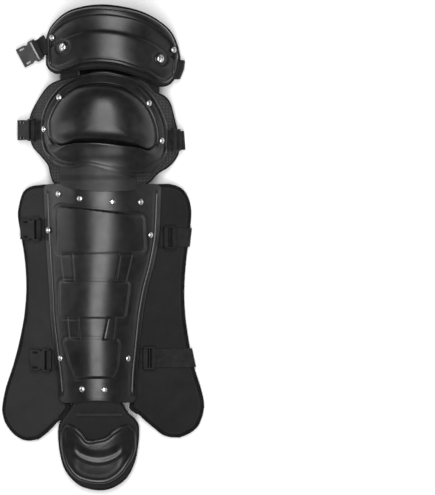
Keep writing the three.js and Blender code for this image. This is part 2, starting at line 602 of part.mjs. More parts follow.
const RIGHT_WING_ROWS = [
  { outer: [0.334, 0.0], innerDown: 0.002 },
  { outer: [0.375, 0.009], innerDown: 0.018 },
  { outer: [0.407, 0.028], innerDown: 0.042 },
  { outer: [0.429, 0.065], innerDown: 0.08 },
  { outer: [0.437, 0.115], innerDown: 0.12 },
  { outer: [0.427, 0.205], innerDown: 0.207 },
  { outer: [0.41, 0.307], innerDown: 0.307 },
  { outer: [0.402, 0.41], innerDown: 0.41 },
  { outer: [0.406, 0.505], innerDown: 0.51 },
  { outer: [0.422, 0.6], innerDown: 0.6 },
  { outer: [0.446, 0.7], innerDown: 0.7 },
  { outer: [0.482, 0.79], innerDown: 0.785 },
  { outer: [0.5, 0.853], inner: [0.148, 0.848] },
  { outer: [0.496, 0.893], inner: [0.15, 0.876] },
  { outer: [0.485, 0.921], inner: [0.185, 0.899] },
  { outer: [0.47, 0.945], inner: [0.223, 0.928] },
  { outer: [0.443, 0.965], inner: [0.262, 0.954] },
  { outer: [0.411, 0.979], inner: [0.296, 0.976] },
  { outer: [0.38, 0.988], inner: [0.334, 0.987] },
];
// Stations across a wing: its tucked edge, the plate's edge, then shares of the rest of its width
const WING_STATIONS = [0, 0.1, 0.3, 0.6, 0.92, 1];

function wingEnds(row, side) {
  const outer = new THREE.Vector2(row.outer[0] * WING_SPAN, SHIN_LENGTH - row.outer[1] * WING_LENGTH);
  if (row.inner) {
    return [new THREE.Vector2(row.inner[0] * WING_SPAN, SHIN_LENGTH - row.inner[1] * WING_LENGTH), outer];
  }
  const y = SHIN_LENGTH - row.innerDown * WING_LENGTH;
  const arch = archAt(y);
  return [new THREE.Vector2(arch.sway + side * (arch.half - WING_TUCK), y), outer];
}

function wing(rows, side) {
  const face = rows.map((row) => {
    const [inner, outer] = wingEnds(row, side);
    const tucked = WING_TUCK / inner.distanceTo(outer);
    return [0, ...WING_STATIONS.map((share) => lerp(tucked, 1, share))].map((share) => {
      const p = between(inner, outer, share);
      return raised(wingFront, p.x, p.y, 0);
    });
  });
  const upward = face.reverse();
  return softSheet(wingFront, side < 0 ? upward.map((row) => row.reverse()) : upward, WING_THICKNESS);
}

// Instep flap and its moulded toe cap, as shares of each one's width and length, anticlockwise from the top
const FLAP_OUTLINE = [
  [0.02, 0.5], [-0.31, 0.495], [-0.32, 0.42], [-0.34, 0.36], [-0.39, 0.3], [-0.455, 0.23],
  [-0.49, 0.17], [-0.5, 0.08], [-0.475, -0.12], [-0.4, -0.31], [-0.24, -0.45], [-0.03, -0.5],
  [0.15, -0.485], [0.33, -0.39], [0.44, -0.22], [0.49, -0.02], [0.5, 0.1], [0.495, 0.17],
  [0.455, 0.23], [0.38, 0.29], [0.33, 0.36], [0.3, 0.42], [0.29, 0.495],
];
const TOE_CAP_OUTLINE = [
  [-0.02, 0.25], [-0.13, 0.24], [-0.21, 0.35], [-0.32, 0.46], [-0.42, 0.49], [-0.485, 0.4],
  [-0.5, 0.26], [-0.49, 0.07], [-0.43, -0.2], [-0.3, -0.4], [-0.14, -0.48], [0.0, -0.5],
  [0.13, -0.48], [0.29, -0.36], [0.4, -0.18], [0.485, 0.02], [0.5, 0.2], [0.48, 0.39],
  [0.41, 0.48], [0.32, 0.47], [0.19, 0.38], [0.1, 0.29],
];

function instepFlap() {
  const middle = new THREE.Vector2(FLAP_SHIFT, FLAP_MIDDLE);
  const outline = evenPoints(outlineCurve(FLAP_OUTLINE, middle, FLAP_WIDTH, FLAP_LENGTH), 40);
  return softRound(padFront, outline, middle, [0.35, 0.65, 0.94, 1], 0, WING_THICKNESS);
}

// A raised smile across the toe cap and a low dish under it
const TOE_CAP_MARGIN = 9;
const TOE_CAP_MIDDLE = FLAP_BOTTOM + TOE_CAP_MARGIN + TOE_CAP_LENGTH / 2;
function toeRelief(x, y, share) {
  const across = (x - FLAP_SHIFT) / TOE_CAP_WIDTH;
  const up = (y - TOE_CAP_MIDDLE) / TOE_CAP_LENGTH;
  const smile = -0.14 + 1.1 * across * across;
  const ridge = Math.exp(-(((up - smile) / 0.05) ** 2)) * (1 - smooth(Math.abs(across), 0.2, 0.26));
  const dish = smooth(smile - up, 0.02, 0.1) * (1 - smooth(share, 0.6, 0.85));
  const roll = 0.45 + 0.55 * (1 - share ** 3);
  return TOE_CAP_RISE * (0.6 * roll + 0.45 * ridge - 0.3 * dish);
}

function instepCap() {
  const middle = new THREE.Vector2(FLAP_SHIFT, TOE_CAP_MIDDLE);
  const heart = new THREE.Vector2(FLAP_SHIFT, TOE_CAP_MIDDLE - 0.1 * TOE_CAP_LENGTH);
  const edge = evenPoints(outlineCurve(TOE_CAP_OUTLINE, middle, TOE_CAP_WIDTH, TOE_CAP_LENGTH), 40);
  const shares = [0.25, 0.5, 0.72, 0.9, 1];
  const lift = 2.5 * SEAT + SHELL_WALL;
  const face = shares.map((share) => edge.map((p) => {
    const q = between(heart, p, share);
    return raised(padFront, q.x, q.y, lift, share === 1 ? 0 : toeRelief(q.x, q.y, share));
  }));
  const top = raised(padFront, heart.x, heart.y, lift, toeRelief(heart.x, heart.y, 0));
  const back = face.map((ring) => ring.map((p) => behind(padFront, p, SHELL_WALL)));
  return roundSolid(top, face, behind(padFront, top, SHELL_WALL), back);
}

// Fabric links behind the thigh and knee pads
const LINKS = [
  { name: "thigh_link_left", across: -0.315, low: 0.89, high: 1.06 },
  { name: "thigh_link_right", across: 0.28, low: 0.78, high: 1.0 },
];
function thighLink(link) {
  const middle = THIGH_SHIFT + link.across * THIGH_WIDTH;
  const face = evenShares(5).map((up) => evenShares(3).map((across) => {
    const y = kneeAt(lerp(link.low, link.high, up));
    return raised(padFront, middle + (across - 0.5) * LINK_WIDTH, y, -PAD_THICKNESS - 2 * SEAT - PAD_JOINT);
  }));
  return sheetSolid(face, face.map((row) => row.map((p) => behind(padFront, p, LINK_THICKNESS))));
}

// Height of a built piece's front above x and y
function heightOn(mesh, x, y) {
  const position = mesh.geometry.attributes.position;
  const index = mesh.geometry.index.array;
  let highest = -Infinity;
  for (let t = 0; t < index.length; t += 3) {
    const [a, b, c] = [0, 1, 2].map((n) => new THREE.Vector3().fromBufferAttribute(position, index[t + n]));
    const area = (b.x - a.x) * (c.y - a.y) - (c.x - a.x) * (b.y - a.y);
    if (area <= 0) continue;
    const u = ((x - a.x) * (c.y - a.y) - (c.x - a.x) * (y - a.y)) / area;
    const v = ((b.x - a.x) * (y - a.y) - (x - a.x) * (b.y - a.y)) / area;
    if (u < 0 || v < 0 || u + v > 1) continue;
    highest = Math.max(highest, a.z + u * (b.z - a.z) + v * (c.z - a.z));
  }
  return highest;
}

// The plane that a round head rests on: it leans as the piece does, and clears it all round the head
function seatOn(mesh, x, y, radius) {
  const at = (dx, dy) => new THREE.Vector3(x + dx, y + dy, heightOn(mesh, x + dx, y + dy));
  const reach = 0.7 * radius;
  const along = at(reach, 0).sub(at(-reach, 0));
  const up = along.cross(at(0, reach).sub(at(0, -reach))).normalize();
  const point = at(0, 0);
  let clear = 0;
  for (const share of evenShares(24)) {
    for (const part of [0.3, 0.5, 0.7, 0.85, 1]) {
      const turn = 2 * Math.PI * share;
      const place = new THREE.Vector3(Math.cos(turn), Math.sin(turn), 0).multiplyScalar(part * radius);
      place.addScaledVector(up, -place.dot(up));
      clear = Math.max(clear, at(place.x, place.y).sub(point).dot(up));
    }
  }
  return { point: point.addScaledVector(up, clear), up };
}

// A domed rivet head, as a lathe profile that starts and ends on its axis
function rivetHead(radius, rise) {
  const profile = [
    [0, 0], [radius, 0], [0.96 * radius, 0.35 * rise], [0.62 * radius, 0.86 * rise], [0, rise],
  ];
  const geometry = new THREE.LatheGeometry(profile.map(([r, z]) => new THREE.Vector2(r, z)), 10);
  return geometry.rotateX(Math.PI / 2);
}

function standOn(geometry, seat, lift) {
  const turn = new THREE.Quaternion().setFromUnitVectors(new THREE.Vector3(0, 0, 1), seat.up);
  const place = seat.point.clone().addScaledVector(seat.up, lift);
  return geometry.applyMatrix4(new THREE.Matrix4().compose(place, turn, new THREE.Vector3(1, 1, 1)));
}

function solidFrom(geometry) {
  const bare = geometry.clone();
  bare.deleteAttribute("normal");
  bare.deleteAttribute("uv");
  const welded = mergeVertices(bare, 1e-4);
  const mesh = new wasm.Mesh({
    numProp: 3,
    vertProperties: new Float32Array(welded.attributes.position.array),
    triVerts: new Uint32Array(welded.index.array),
  });
  return new wasm.Manifold(mesh);
}

function geometryFrom(solid) {
  const mesh = solid.getMesh();
  const geometry = new THREE.BufferGeometry();
  geometry.setAttribute("position", new THREE.BufferAttribute(new Float32Array(mesh.vertProperties), 3));
  geometry.setIndex(new THREE.BufferAttribute(new Uint32Array(mesh.triVerts), 1));
  return geometry;
}

function screwHead() {
  const head = rivetHead(SCREW_RADIUS, SCREW_RISE);
  const slot = new THREE.BoxGeometry(2.2 * SCREW_RADIUS, SCREW_SLOT, SCREW_RISE);
  slot.rotateZ(Math.PI / 3).translate(0, 0, SCREW_RISE);
  return geometryFrom(solidFrom(head).subtract(solidFrom(slot)));
}

const SHIN_RIVETS = [
  { name: "rivet_top_1", x: -0.366, up: 0.953 },
  { name: "rivet_top_2", x: -0.181, up: 0.931 },
  { name: "rivet_top_3", x: 0.092, up: 0.916 },
  { name: "rivet_top_4", x: 0.325, up: 0.916 },
  { name: "rivet_left_upper", x: -0.455, up: 0.787 },
  { name: "rivet_right_upper", x: 0.408, up: 0.765 },
  { name: "rivet_left_lower", x: -0.353, up: 0.198 },
  { name: "rivet_right_lower", x: 0.218, up: 0.198 },
  { name: "rivet_bottom_1", x: -0.164, up: 0.059 },
  { name: "rivet_bottom_2", x: 0.02, up: 0.056 },
];
const KNEE_RIVETS = [
  { name: "rivet_knee_high_left", x: -0.347, y: 0.255 },
  { name: "rivet_knee_high_right", x: 0.351, y: 0.2 },
  { name: "rivet_knee_side_left", x: -0.47, y: -0.04 },
  { name: "rivet_knee_side_right", x: 0.45, y: -0.15 },
];
const THIGH_RIVETS = [
  { name: "rivet_thigh_left", x: -0.436, y: 0.1 },
  { name: "rivet_thigh_right", x: 0.445, y: -0.052 },
];
const THIGH_SCREWS = [
  { name: "screw_thigh_left", x: -0.36, y: -0.027 },
  { name: "screw_thigh_right", x: 0.357, y: -0.172 },
];

// A frame for a stiff piece that rests on a surface from a start point outward along a plan direction
function restFrame(front, start, way, length, lift, width = HARDWARE_WIDTH) {
  const end = start.clone().addScaledVector(way, length);
  const low = new THREE.Vector3(start.x, start.y, front(start.x, start.y));
  const high = new THREE.Vector3(end.x, end.y, front(end.x, end.y));
  let clear = 0;
  for (const share of evenShares(12)) {
    const line = low.clone().lerp(high, share);
    for (const side of [-0.5, 0, 0.5]) {
      const [x, y] = [line.x - way.y * side * width, line.y + way.x * side * width];
      clear = Math.max(clear, front(x, y) - line.z);
    }
  }
  const along = high.clone().sub(low).normalize();
  const across = new THREE.Vector3(-way.y, way.x, 0).normalize();
  const up = along.clone().cross(across).normalize();
  if (up.z < 0) up.negate();
  const origin = low.addScaledVector(up, clear * up.z + lift);
  return { origin, along, across: up.clone().cross(along), up };
}

function inFrame(frame, along, across, up) {
  return frame.origin.clone().addScaledVector(frame.along, along)
    .addScaledVector(frame.across, across).addScaledVector(frame.up, up);
}

function placeInFrame(geometry, frame) {
  const basis = new THREE.Matrix4().makeBasis(frame.along, frame.across, frame.up);
  return geometry.applyMatrix4(basis.setPosition(frame.origin));
}

function boxHole(x0, x1, y0, y1) {
  return new THREE.Path([[x0, y0], [x0, y1], [x1, y1], [x1, y0]].map(([x, y]) => new THREE.Vector2(x, y)));
}

function extruded(outline, holes, depth) {
  const shape = new THREE.Shape(outline.map(([x, y]) => new THREE.Vector2(x, y)));
  shape.holes.push(...holes);
  return new THREE.ExtrudeGeometry(shape, { depth, bevelEnabled: false });
}

// The receiving half of a side-release buckle: bar and slot at 0, side windows, and a mouth at its far end
function buckleBody() {
  const half = HARDWARE_WIDTH / 2;
  const neck = 0.8 * half;
  const mouthHalf = 0.9 * half;
  const throat = BAR + BAR_SLOT + 2;
  const outline = [
    [0, -half], [throat, -half], [throat + 2, -neck], [throat + 5, -neck], [throat + 7, -mouthHalf],
    [BUCKLE_LENGTH, -mouthHalf], [BUCKLE_LENGTH, mouthHalf], [throat + 7, mouthHalf], [throat + 5, neck],
    [throat + 2, neck], [throat, half], [0, half],
  ];
  const inset = half - RAIL;
  const windows = [-1, 1].map((side) => {
    const [a, b] = [side * (mouthHalf - 5.5), side * (mouthHalf - 2)];
    return boxHole(throat + 9, BUCKLE_LENGTH - 4, Math.min(a, b), Math.max(a, b));
  });
  const slot = boxHole(BAR, BAR + BAR_SLOT, -inset, inset);
  const body = extruded(outline, [slot, ...windows], BUCKLE_THICKNESS);
  const pocketWide = 2 * mouthHalf - 3.4;
  const mouth = new THREE.BoxGeometry(BUCKLE_LENGTH - throat - 4, pocketWide, BUCKLE_THICKNESS - 3);
  mouth.translate((BUCKLE_LENGTH + throat + 5) / 2 + 1, 0, BUCKLE_THICKNESS / 2);
  const thinBar = new THREE.BoxGeometry(2 * (BAR + BAR_SLOT) , 2 * inset, BUCKLE_THICKNESS);
  thinBar.translate(0, 0, BUCKLE_THICKNESS / 2 + LOCK_THICKNESS);
  return geometryFrom(solidFrom(body).subtract(solidFrom(mouth)).subtract(solidFrom(thinBar)));
}

// A strap adjuster: two bars with a slot between them and an open frame round a third
function lockBody() {
  const half = HARDWARE_WIDTH / 2;
  const outline = [[0, -half], [LOCK_LENGTH, -half], [LOCK_LENGTH, half], [0, half]];
  const inset = half - RAIL;
  const slots = [BAR + BAR_SLOT / 2, LOCK_LENGTH - BAR - BAR_SLOT / 2].map((along) => {
    const slot = new THREE.BoxGeometry(BAR_SLOT, 2 * inset, 2 * LOCK_THICKNESS);
    return solidFrom(slot.translate(along, 0, LOCK_THICKNESS / 2));
  });
  const frame = solidFrom(extruded(outline, [], LOCK_THICKNESS));
  return geometryFrom(slots.reduce((solid, slot) => solid.subtract(slot), frame));
}

// Webbing loops: thinner than the strap
const LEFT = new THREE.Vector2(-1, 0);
const RIGHT = new THREE.Vector2(1, 0);
const LOOP_WEB = 1.3;
const LOOP_STEP = SEAT + LOOP_WEB;
const WEB_SEAT = SHELL_FLOOR - LOOP_WEB - SEAT;
const STRAP_SEAT = WEB_SEAT + SEAT;
const LOOP_LIFT = WEB_SEAT + LOOP_STEP;
const LOOP_TOP = LOCK_THICKNESS + LOOP_STEP;

// A strip of webbing from pairs of points under and over it, at shares of its width from its middle
function stripSolid(shares, pairsAt) {
  const edges = shares.map(pairsAt);
  const face = edges.map((pairs) => pairs.map(([, over]) => over));
  const back = edges.map((pairs) => pairs.map(([under]) => under));
  const geometry = sheetSolid(face, back);
  if (volumeOf(geometry) < 0) geometry.index.array.reverse();
  return solidFrom(geometry);
}

function volumeOf(geometry) {
  const position = geometry.attributes.position;
  const index = geometry.index.array;
  let volume = 0;
  for (let t = 0; t < index.length; t += 3) {
    const [a, b, c] = [0, 1, 2].map((n) => new THREE.Vector3().fromBufferAttribute(position, index[t + n]));
    volume += a.dot(b.cross(c)) / 6;
  }
  return volume;
}

// The loop of webbing round a bar of a stiff piece, between two distances along the piece's frame
function barLoop(frame, from, to) {
  const outline = [
    [from - LOOP_STEP, -LOOP_STEP], [to + LOOP_STEP, -LOOP_STEP],
    [to + LOOP_STEP, LOOP_TOP], [from - LOOP_STEP, LOOP_TOP],
  ];
  const hole = boxHole(from - SEAT, to + SEAT, -SEAT, LOCK_THICKNESS + SEAT);
  const loop = extruded(outline, [hole], STRAP_WIDTH).translate(0, 0, -STRAP_WIDTH / 2);
  return solidFrom(placeInFrame(loop.rotateX(Math.PI / 2), frame));
}

// Points of webbing by distance along a way and height: over a surface, and in a stiff piece's frame
function overSurface(front, start, way, share) {
  return (along, height) => {
    const x = start.x + way.x * along - way.y * share * STRAP_WIDTH;
    const y = start.y + way.y * along + way.x * share * STRAP_WIDTH;
    return raised(front, x, y, 0).addScaledVector(normalOf(front, x, y), height);
  };
}
const layerIn = (frame, share, along) => [
  inFrame(frame, along, share * STRAP_WIDTH, LOOP_JOINT - LOOP_STEP),
  inFrame(frame, along, share * STRAP_WIDTH, -SEAT - LOOP_JOINT),
];
const LOOP_JOINT = 0.1;

// A tab from under a shell's edge that loops round the bar of the piece in the frame
function tabSolid(front, start, way, frame) {
  const strip = stripSolid([-0.5, 0.5], (edge) => {
    const share = way.x < 0 ? edge : -edge;
    const surface = overSurface(front, start, way, share);
    const tuck = [1, 0.8, 0.6, 0.4, 0.26].map((part) => -part * TAB_TUCK);
    return [
      ...tuck.map((along) => [surface(along, WEB_SEAT), surface(along, WEB_SEAT + LOOP_WEB)]),
      layerIn(frame, share, -SEAT), layerIn(frame, share, 0.5 * BAR),
    ];
  });
  return geometryFrom(strip.add(barLoop(frame, 0, BAR)));
}

// Where a closed outline reaches furthest to the right at y
function rightEdge(outline, y) {
  const reaches = outline.flatMap((a, k) => {
    const b = outline[(k + 1) % outline.length];
    if ((a.y > y) === (b.y > y)) return [];
    return [lerp(a.x, b.x, (y - a.y) / (b.y - a.y))];
  });
  return Math.max(...reaches);
}

// A strap from the adjuster over the padding's right edge, then down and straight across behind to its
// clip's bar. With no adjuster it starts under the shell's edge.
function strapSolid(front, start, lock, outline, bulge, clipX) {
  const far = LOCK_LENGTH - BAR;
  const strip = stripSolid(lock ? [-0.5, 0.5] : [-0.5, 0, 0.5], (share) => {
    const surface = overSurface(front, start, RIGHT, share);
    const y = start.y + share * STRAP_WIDTH;
    const at = (x, z) => new THREE.Vector3(x, y, z);
    const edge = rightEdge(outline, y);
    const rim = front(edge, y);
    const ends = lock ? [far + 0.5 * BAR, LOCK_LENGTH + LOOP_STEP] : [];
    const head = ends.map((along) => layerIn(lock, share, along));
    const first = lock ? (LOCK_LENGTH + 3.4) * lock.along.x : -0.5 * TAB_TUCK;
    const seat = lock ? STRAP_SEAT : 1.5 * SEAT;
    const runs = [0, 0.25, 0.5, 0.75, 1].map((t) => lerp(first, edge - start.x - 1.5, t));
    return [
      ...head, ...runs.map((along) => [surface(along, seat), surface(along, seat + WEB)]),
      [at(edge + 0.8 * bulge - WEB, rim - 0.2 * bulge - 1), at(edge + 0.8 * bulge, rim - 0.08 * bulge)],
      [at(edge + bulge - WEB, 0.5 * rim), at(edge + bulge, 0.5 * rim)],
      [at(edge + 0.7 * bulge - 0.6 * WEB, WEB), at(edge + 0.8 * bulge, 0.4 * WEB)],
      [at(edge - 0.4 * bulge, WEB), at(edge - 0.4 * bulge, 0)],
      [at(clipX - 0.5 * BAR, WEB), at(clipX - 0.5 * BAR, 0)],
    ];
  });
  const foot = strip.add(barLoop(clipFrame(clipX, start.y), 0, BAR));
  return geometryFrom(lock ? foot.add(barLoop(lock, far, LOCK_LENGTH)) : foot);
}

// The plug half lies flat behind the guard, its bar in the strap's end and its prongs to the left
function clipFrame(x, y) {
  const along = new THREE.Vector3(-1, 0, 0);
  const up = new THREE.Vector3(0, 0, 1);
  return { origin: new THREE.Vector3(x, y, WEB + SEAT), along, across: up.clone().cross(along), up };
}

function clipBody() {
  const half = HARDWARE_WIDTH / 2;
  const inset = half - RAIL;
  const root = BAR + BAR_SLOT + 4;
  const outline = [
    [0, -half], [root, -half], [root + 2, -0.8 * half],
    [CLIP_LENGTH - 8, -0.84 * half], [CLIP_LENGTH - 6, -0.95 * half], [CLIP_LENGTH, -0.62 * half],
    [CLIP_LENGTH - 2, -0.5 * half], [root + 3, -0.5 * half], [root + 3, -0.16 * half],
    [CLIP_LENGTH - 4, -0.16 * half], [CLIP_LENGTH - 4, 0.16 * half], [root + 3, 0.16 * half],
    [root + 3, 0.5 * half], [CLIP_LENGTH - 2, 0.5 * half], [CLIP_LENGTH, 0.62 * half],
    [CLIP_LENGTH - 6, 0.95 * half], [CLIP_LENGTH - 8, 0.84 * half], [root + 2, 0.8 * half],
    [root, half], [0, half],
  ];
  return extruded(outline, [boxHole(BAR, BAR + BAR_SLOT, -inset, inset)], LOCK_THICKNESS);
}

// Moulded shells and padding
const plates = {
  thigh_cap: addPiece("thigh_cap", thighCap(), BLACK_SHELL),
  knee_cap: addPiece("knee_cap", kneeCap(), BLACK_SHELL),
  shin_plate: addPiece("shin_plate", shinPlate(), BLACK_SHELL),
};
addPiece("lower_knee_plate", lowerKneePlate(), BLACK_SHELL);
addPiece("instep_cap", instepCap(), BLACK_SHELL);
addPiece("thigh_pad", thighPad(), BLACK_PAD);
addPiece("knee_pad", kneePad(), BLACK_PAD);
addPiece("shin_pad", shinPad(), BLACK_PAD);
addPiece("left_wing", wing(LEFT_WING_ROWS, -1), GREY_WING);
addPiece("right_wing", wing(RIGHT_WING_ROWS, 1), GREY_WING);
addPiece("instep_flap", instepFlap(), BLACK_PAD);
for (const link of LINKS) addPiece(link.name, thighLink(link), BLACK_PAD);

// Rivets and screws
function rivetOn(plate, name, x, y, lift = SEAT) {
  const seat = seatOn(plate, x, y, RIVET_RADIUS);
  addPiece(name, standOn(rivetHead(RIVET_RADIUS, RIVET_RISE), seat, lift), NICKEL);
}
const acrossThigh = (share) => THIGH_SHIFT + share * THIGH_WIDTH;
const upThigh = (share) => THIGH_MIDDLE + share * THIGH_HEIGHT;
for (const { name, x, up } of SHIN_RIVETS) rivetOn(plates.shin_plate, name, x * SHIN_WIDTH, shinAt(up));
for (const { name, x, y } of KNEE_RIVETS) {
  rivetOn(plates.knee_cap, name, KNEE_SHIFT + x * KNEE_WIDTH, KNEE_MIDDLE + y * KNEE_HEIGHT);
}
for (const { name, x, y } of THIGH_RIVETS) {
  rivetOn(plates.thigh_cap, name, acrossThigh(x), upThigh(y), 2.4 * SEAT);
}
for (const { name, x, y } of THIGH_SCREWS) {
  const seat = seatOn(plates.thigh_cap, acrossThigh(x), upThigh(y), SCREW_RADIUS);
  addPiece(name, standOn(screwHead(), seat, SEAT), NICKEL);
}

// Buckles on the left, each held by a tab from under the shell's edge
const EDGE_CLEAR = 5.5;
const KNEE_LOCK_CLEAR = 2.6;
const leftOf = (y) => new THREE.Vector2(archAt(y).sway - archAt(y).half - EDGE_CLEAR, y);
const rightOf = (y, clear = EDGE_CLEAR) => new THREE.Vector2(archAt(y).sway + archAt(y).half + clear, y);
const UPPER_STRAP = shinAt(0.785);
const LOWER_STRAP = shinAt(0.185);
const KNEE_STRAP = kneeAt(0.47);
const THIGH_DROOP = THREE.MathUtils.degToRad(208);
const DROOPED = new THREE.Vector2(Math.cos(THIGH_DROOP), Math.sin(THIGH_DROOP));
const thighBuckleStart = leftOf(thighAt(0.49)).addScaledVector(DROOPED, 4);
const BUCKLES = [
  { name: "thigh", front: groundedFront, start: thighBuckleStart, way: DROOPED, width: 0 },
  { name: "knee", front: groundedFront, start: leftOf(KNEE_STRAP - 2), way: LEFT },
  { name: "upper", front: wingFront, start: leftOf(UPPER_STRAP + 2), way: LEFT },
  { name: "lower", front: wingFront, start: leftOf(LOWER_STRAP + 1), way: LEFT },
];
for (const { name, front, start, way, width } of BUCKLES) {
  const frame = restFrame(front, start, way, BUCKLE_LENGTH, LOOP_LIFT, width);
  addPiece(`buckle_${name}`, placeInFrame(buckleBody(), frame), BLACK_CLIP);
  addPiece(`tab_${name}`, tabSolid(front, start, way, frame), BLACK_WEB);
}

// Adjusters and straps on the right
const WING_STRAP_BULGE = 3.5;
const PAD_STRAP_BULGE = 8;
const KNEE_LOCK_DROP = 17;
const UPPER_LOCK_DROP = 10;
const LOWER_LOCK_LIFT = 4;
const KNEE_CLIP_X = -38;
const UPPER_CLIP_X = -48;
const LOWER_CLIP_X = -36;
const THIGH_CLIP_X = -30;
const THIGH_STRAP_TUCK = 2;
const kneePadLine = evenPoints(kneePadCurve(), 80);
const thighBelow = evenShares(20).map((across) => thighPoint(across, 0, 0));
const thighAbove = evenShares(20).map((across) => thighPoint(1 - across, 1, 0));
const thighLine = [...thighBelow, ...thighAbove];
const rightWingLine = RIGHT_WING_ROWS.map((row) => wingEnds(row, 1)[1]);
const wingSide = { front: wingFront, outline: rightWingLine, bulge: WING_STRAP_BULGE };
const kneeSide = { front: groundedFront, outline: kneePadLine, bulge: PAD_STRAP_BULGE };
const kneeLockStart = rightOf(KNEE_STRAP - KNEE_LOCK_DROP, KNEE_LOCK_CLEAR);
const LOCKS = [
  { name: "knee", start: kneeLockStart, clipX: KNEE_CLIP_X, ...kneeSide },
  { name: "upper", start: rightOf(UPPER_STRAP - UPPER_LOCK_DROP), clipX: UPPER_CLIP_X, ...wingSide },
  { name: "lower", start: rightOf(LOWER_STRAP + LOWER_LOCK_LIFT), clipX: LOWER_CLIP_X, ...wingSide },
];
for (const { name, front, start, outline, bulge, clipX } of LOCKS) {
  const frame = restFrame(front, start, RIGHT, LOCK_LENGTH, LOOP_LIFT);
  addPiece(`lock_${name}`, placeInFrame(lockBody(), frame), BLACK_CLIP);
  addPiece(`lock_tab_${name}`, tabSolid(front, start, RIGHT, frame), BLACK_WEB);
  addPiece(`strap_${name}`, strapSolid(front, start, frame, outline, bulge, clipX), BLACK_WEB);
  addPiece(`clip_${name}`, placeInFrame(clipBody(), clipFrame(clipX, start.y)), BLACK_CLIP);
}
const thighStrapX = rightEdge(thighLine, thighAt(0.21)) - CAP_INSET - THIGH_STRAP_TUCK;
const thighStart = new THREE.Vector2(thighStrapX, thighAt(0.21));
const thighStrap = strapSolid(groundedFront, thighStart, null, thighLine, PAD_STRAP_BULGE, THIGH_CLIP_X);
addPiece("strap_thigh", thighStrap, BLACK_WEB);
addPiece("clip_thigh", placeInFrame(clipBody(), clipFrame(THIGH_CLIP_X, thighStart.y)), BLACK_CLIP);

// The model stands on the bottom centre of its box
const box = new THREE.Box3().setFromObject(group);
const middle = box.getCenter(new THREE.Vector3());
group.position.set(-middle.x, -middle.y, -box.min.z);
const legGuard = new THREE.Group();
legGuard.add(group);

export default legGuard;
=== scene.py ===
"""Looks of the catcher leg guard, in metres in the part's frame. The shapes are worked out in millimetres in
the drawing's frame, with Y 0 at the shin plate's bottom edge, and moved into place at the end."""

import math

import bmesh
import bpy
import numpy as np
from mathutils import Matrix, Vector

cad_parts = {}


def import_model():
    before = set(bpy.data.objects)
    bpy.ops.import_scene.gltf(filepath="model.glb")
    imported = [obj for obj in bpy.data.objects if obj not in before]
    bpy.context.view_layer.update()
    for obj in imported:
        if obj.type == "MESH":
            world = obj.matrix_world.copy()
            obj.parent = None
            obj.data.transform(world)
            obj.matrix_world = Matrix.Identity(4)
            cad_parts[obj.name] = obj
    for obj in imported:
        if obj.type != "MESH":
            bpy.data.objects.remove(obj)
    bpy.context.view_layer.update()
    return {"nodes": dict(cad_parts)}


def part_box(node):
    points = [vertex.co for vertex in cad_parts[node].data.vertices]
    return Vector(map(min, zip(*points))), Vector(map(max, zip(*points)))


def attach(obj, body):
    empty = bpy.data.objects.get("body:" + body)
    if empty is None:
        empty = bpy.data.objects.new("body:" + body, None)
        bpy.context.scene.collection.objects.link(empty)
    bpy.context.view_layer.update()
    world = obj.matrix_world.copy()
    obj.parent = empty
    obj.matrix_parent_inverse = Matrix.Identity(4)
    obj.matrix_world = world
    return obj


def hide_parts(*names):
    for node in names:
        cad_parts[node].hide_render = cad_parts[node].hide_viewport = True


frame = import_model()
MM = 0.001
SHIFT_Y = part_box("shin_plate")[0].y / MM
FINE = 1.0

# Sizes in millimetres, with the part's values
SHELL_WALL, LOWER_PLATE_WALL, PAD, WING, LINK = 3.0, 2.6, 9.0, 8.0, 3.0
WEB, SEAT, PAD_JOINT = 1.8, 0.3, 0.5
SHIN_LENGTH, LOWER_PLATE_LENGTH, LOWER_PLATE_LAP = 325.0, 48.0, 12.0
KNEE_HEIGHT, KNEE_LAP, KNEE_PAD_HEIGHT, KNEE_PAD_LAP = 158.0, 27.0, 168.0, 6.0
THIGH_HEIGHT, THIGH_LAP, WING_LENGTH = 119.0, 19.5, 385.0
FLAP_LENGTH, FLAP_LAP, TOE_CAP_LENGTH, TOE_CAP_MARGIN = 146.0, 12.0, 91.0, 9.0
SHIN_WIDTH, SHIN_SWAY, LOWER_PLATE_WIDTH, KNEE_WIDTH, KNEE_PAD_WIDTH = 177.0, 9.0, 114.0, 191.0, 228.0
THIGH_WIDTH, WING_SPAN, FLAP_WIDTH, TOE_CAP_WIDTH, LINK_WIDTH = 204.0, 302.0, 125.0, 114.0, 27.0
SHIN_CROWN, SHIN_SIDE, KNEE_CROWN, KNEE_SIDE = 78.0, 28.0, 84.0, 35.0
THIGH_CROWN, THIGH_SIDE, FLAP_CROWN, FLAP_SIDE = 74.0, 15.0, 36.0, 17.0
ARCH_POWER, FLARE_POWER, FLARE_REACH = 2.3, 1.7, 46.0
DOME_RISE, PANEL_RISE, EDGE_RIDGE_RISE, THIGH_RIM_RISE, TOE_CAP_RISE = 20.0, 3.5, 1.6, 6.0, 6.0
CAP_INSET = 3.0
KNEE_SHIFT, KNEE_PAD_SHIFT, THIGH_SHIFT, FLAP_SHIFT = 3.0, 1.5, 14.5, -6.5
SHELL_FLOOR = WEB + 2 * SEAT
SHELL_FACE = SHELL_FLOOR + SHELL_WALL
WING_FLOOR = WEB + SEAT
WING_TUCK = 6.0

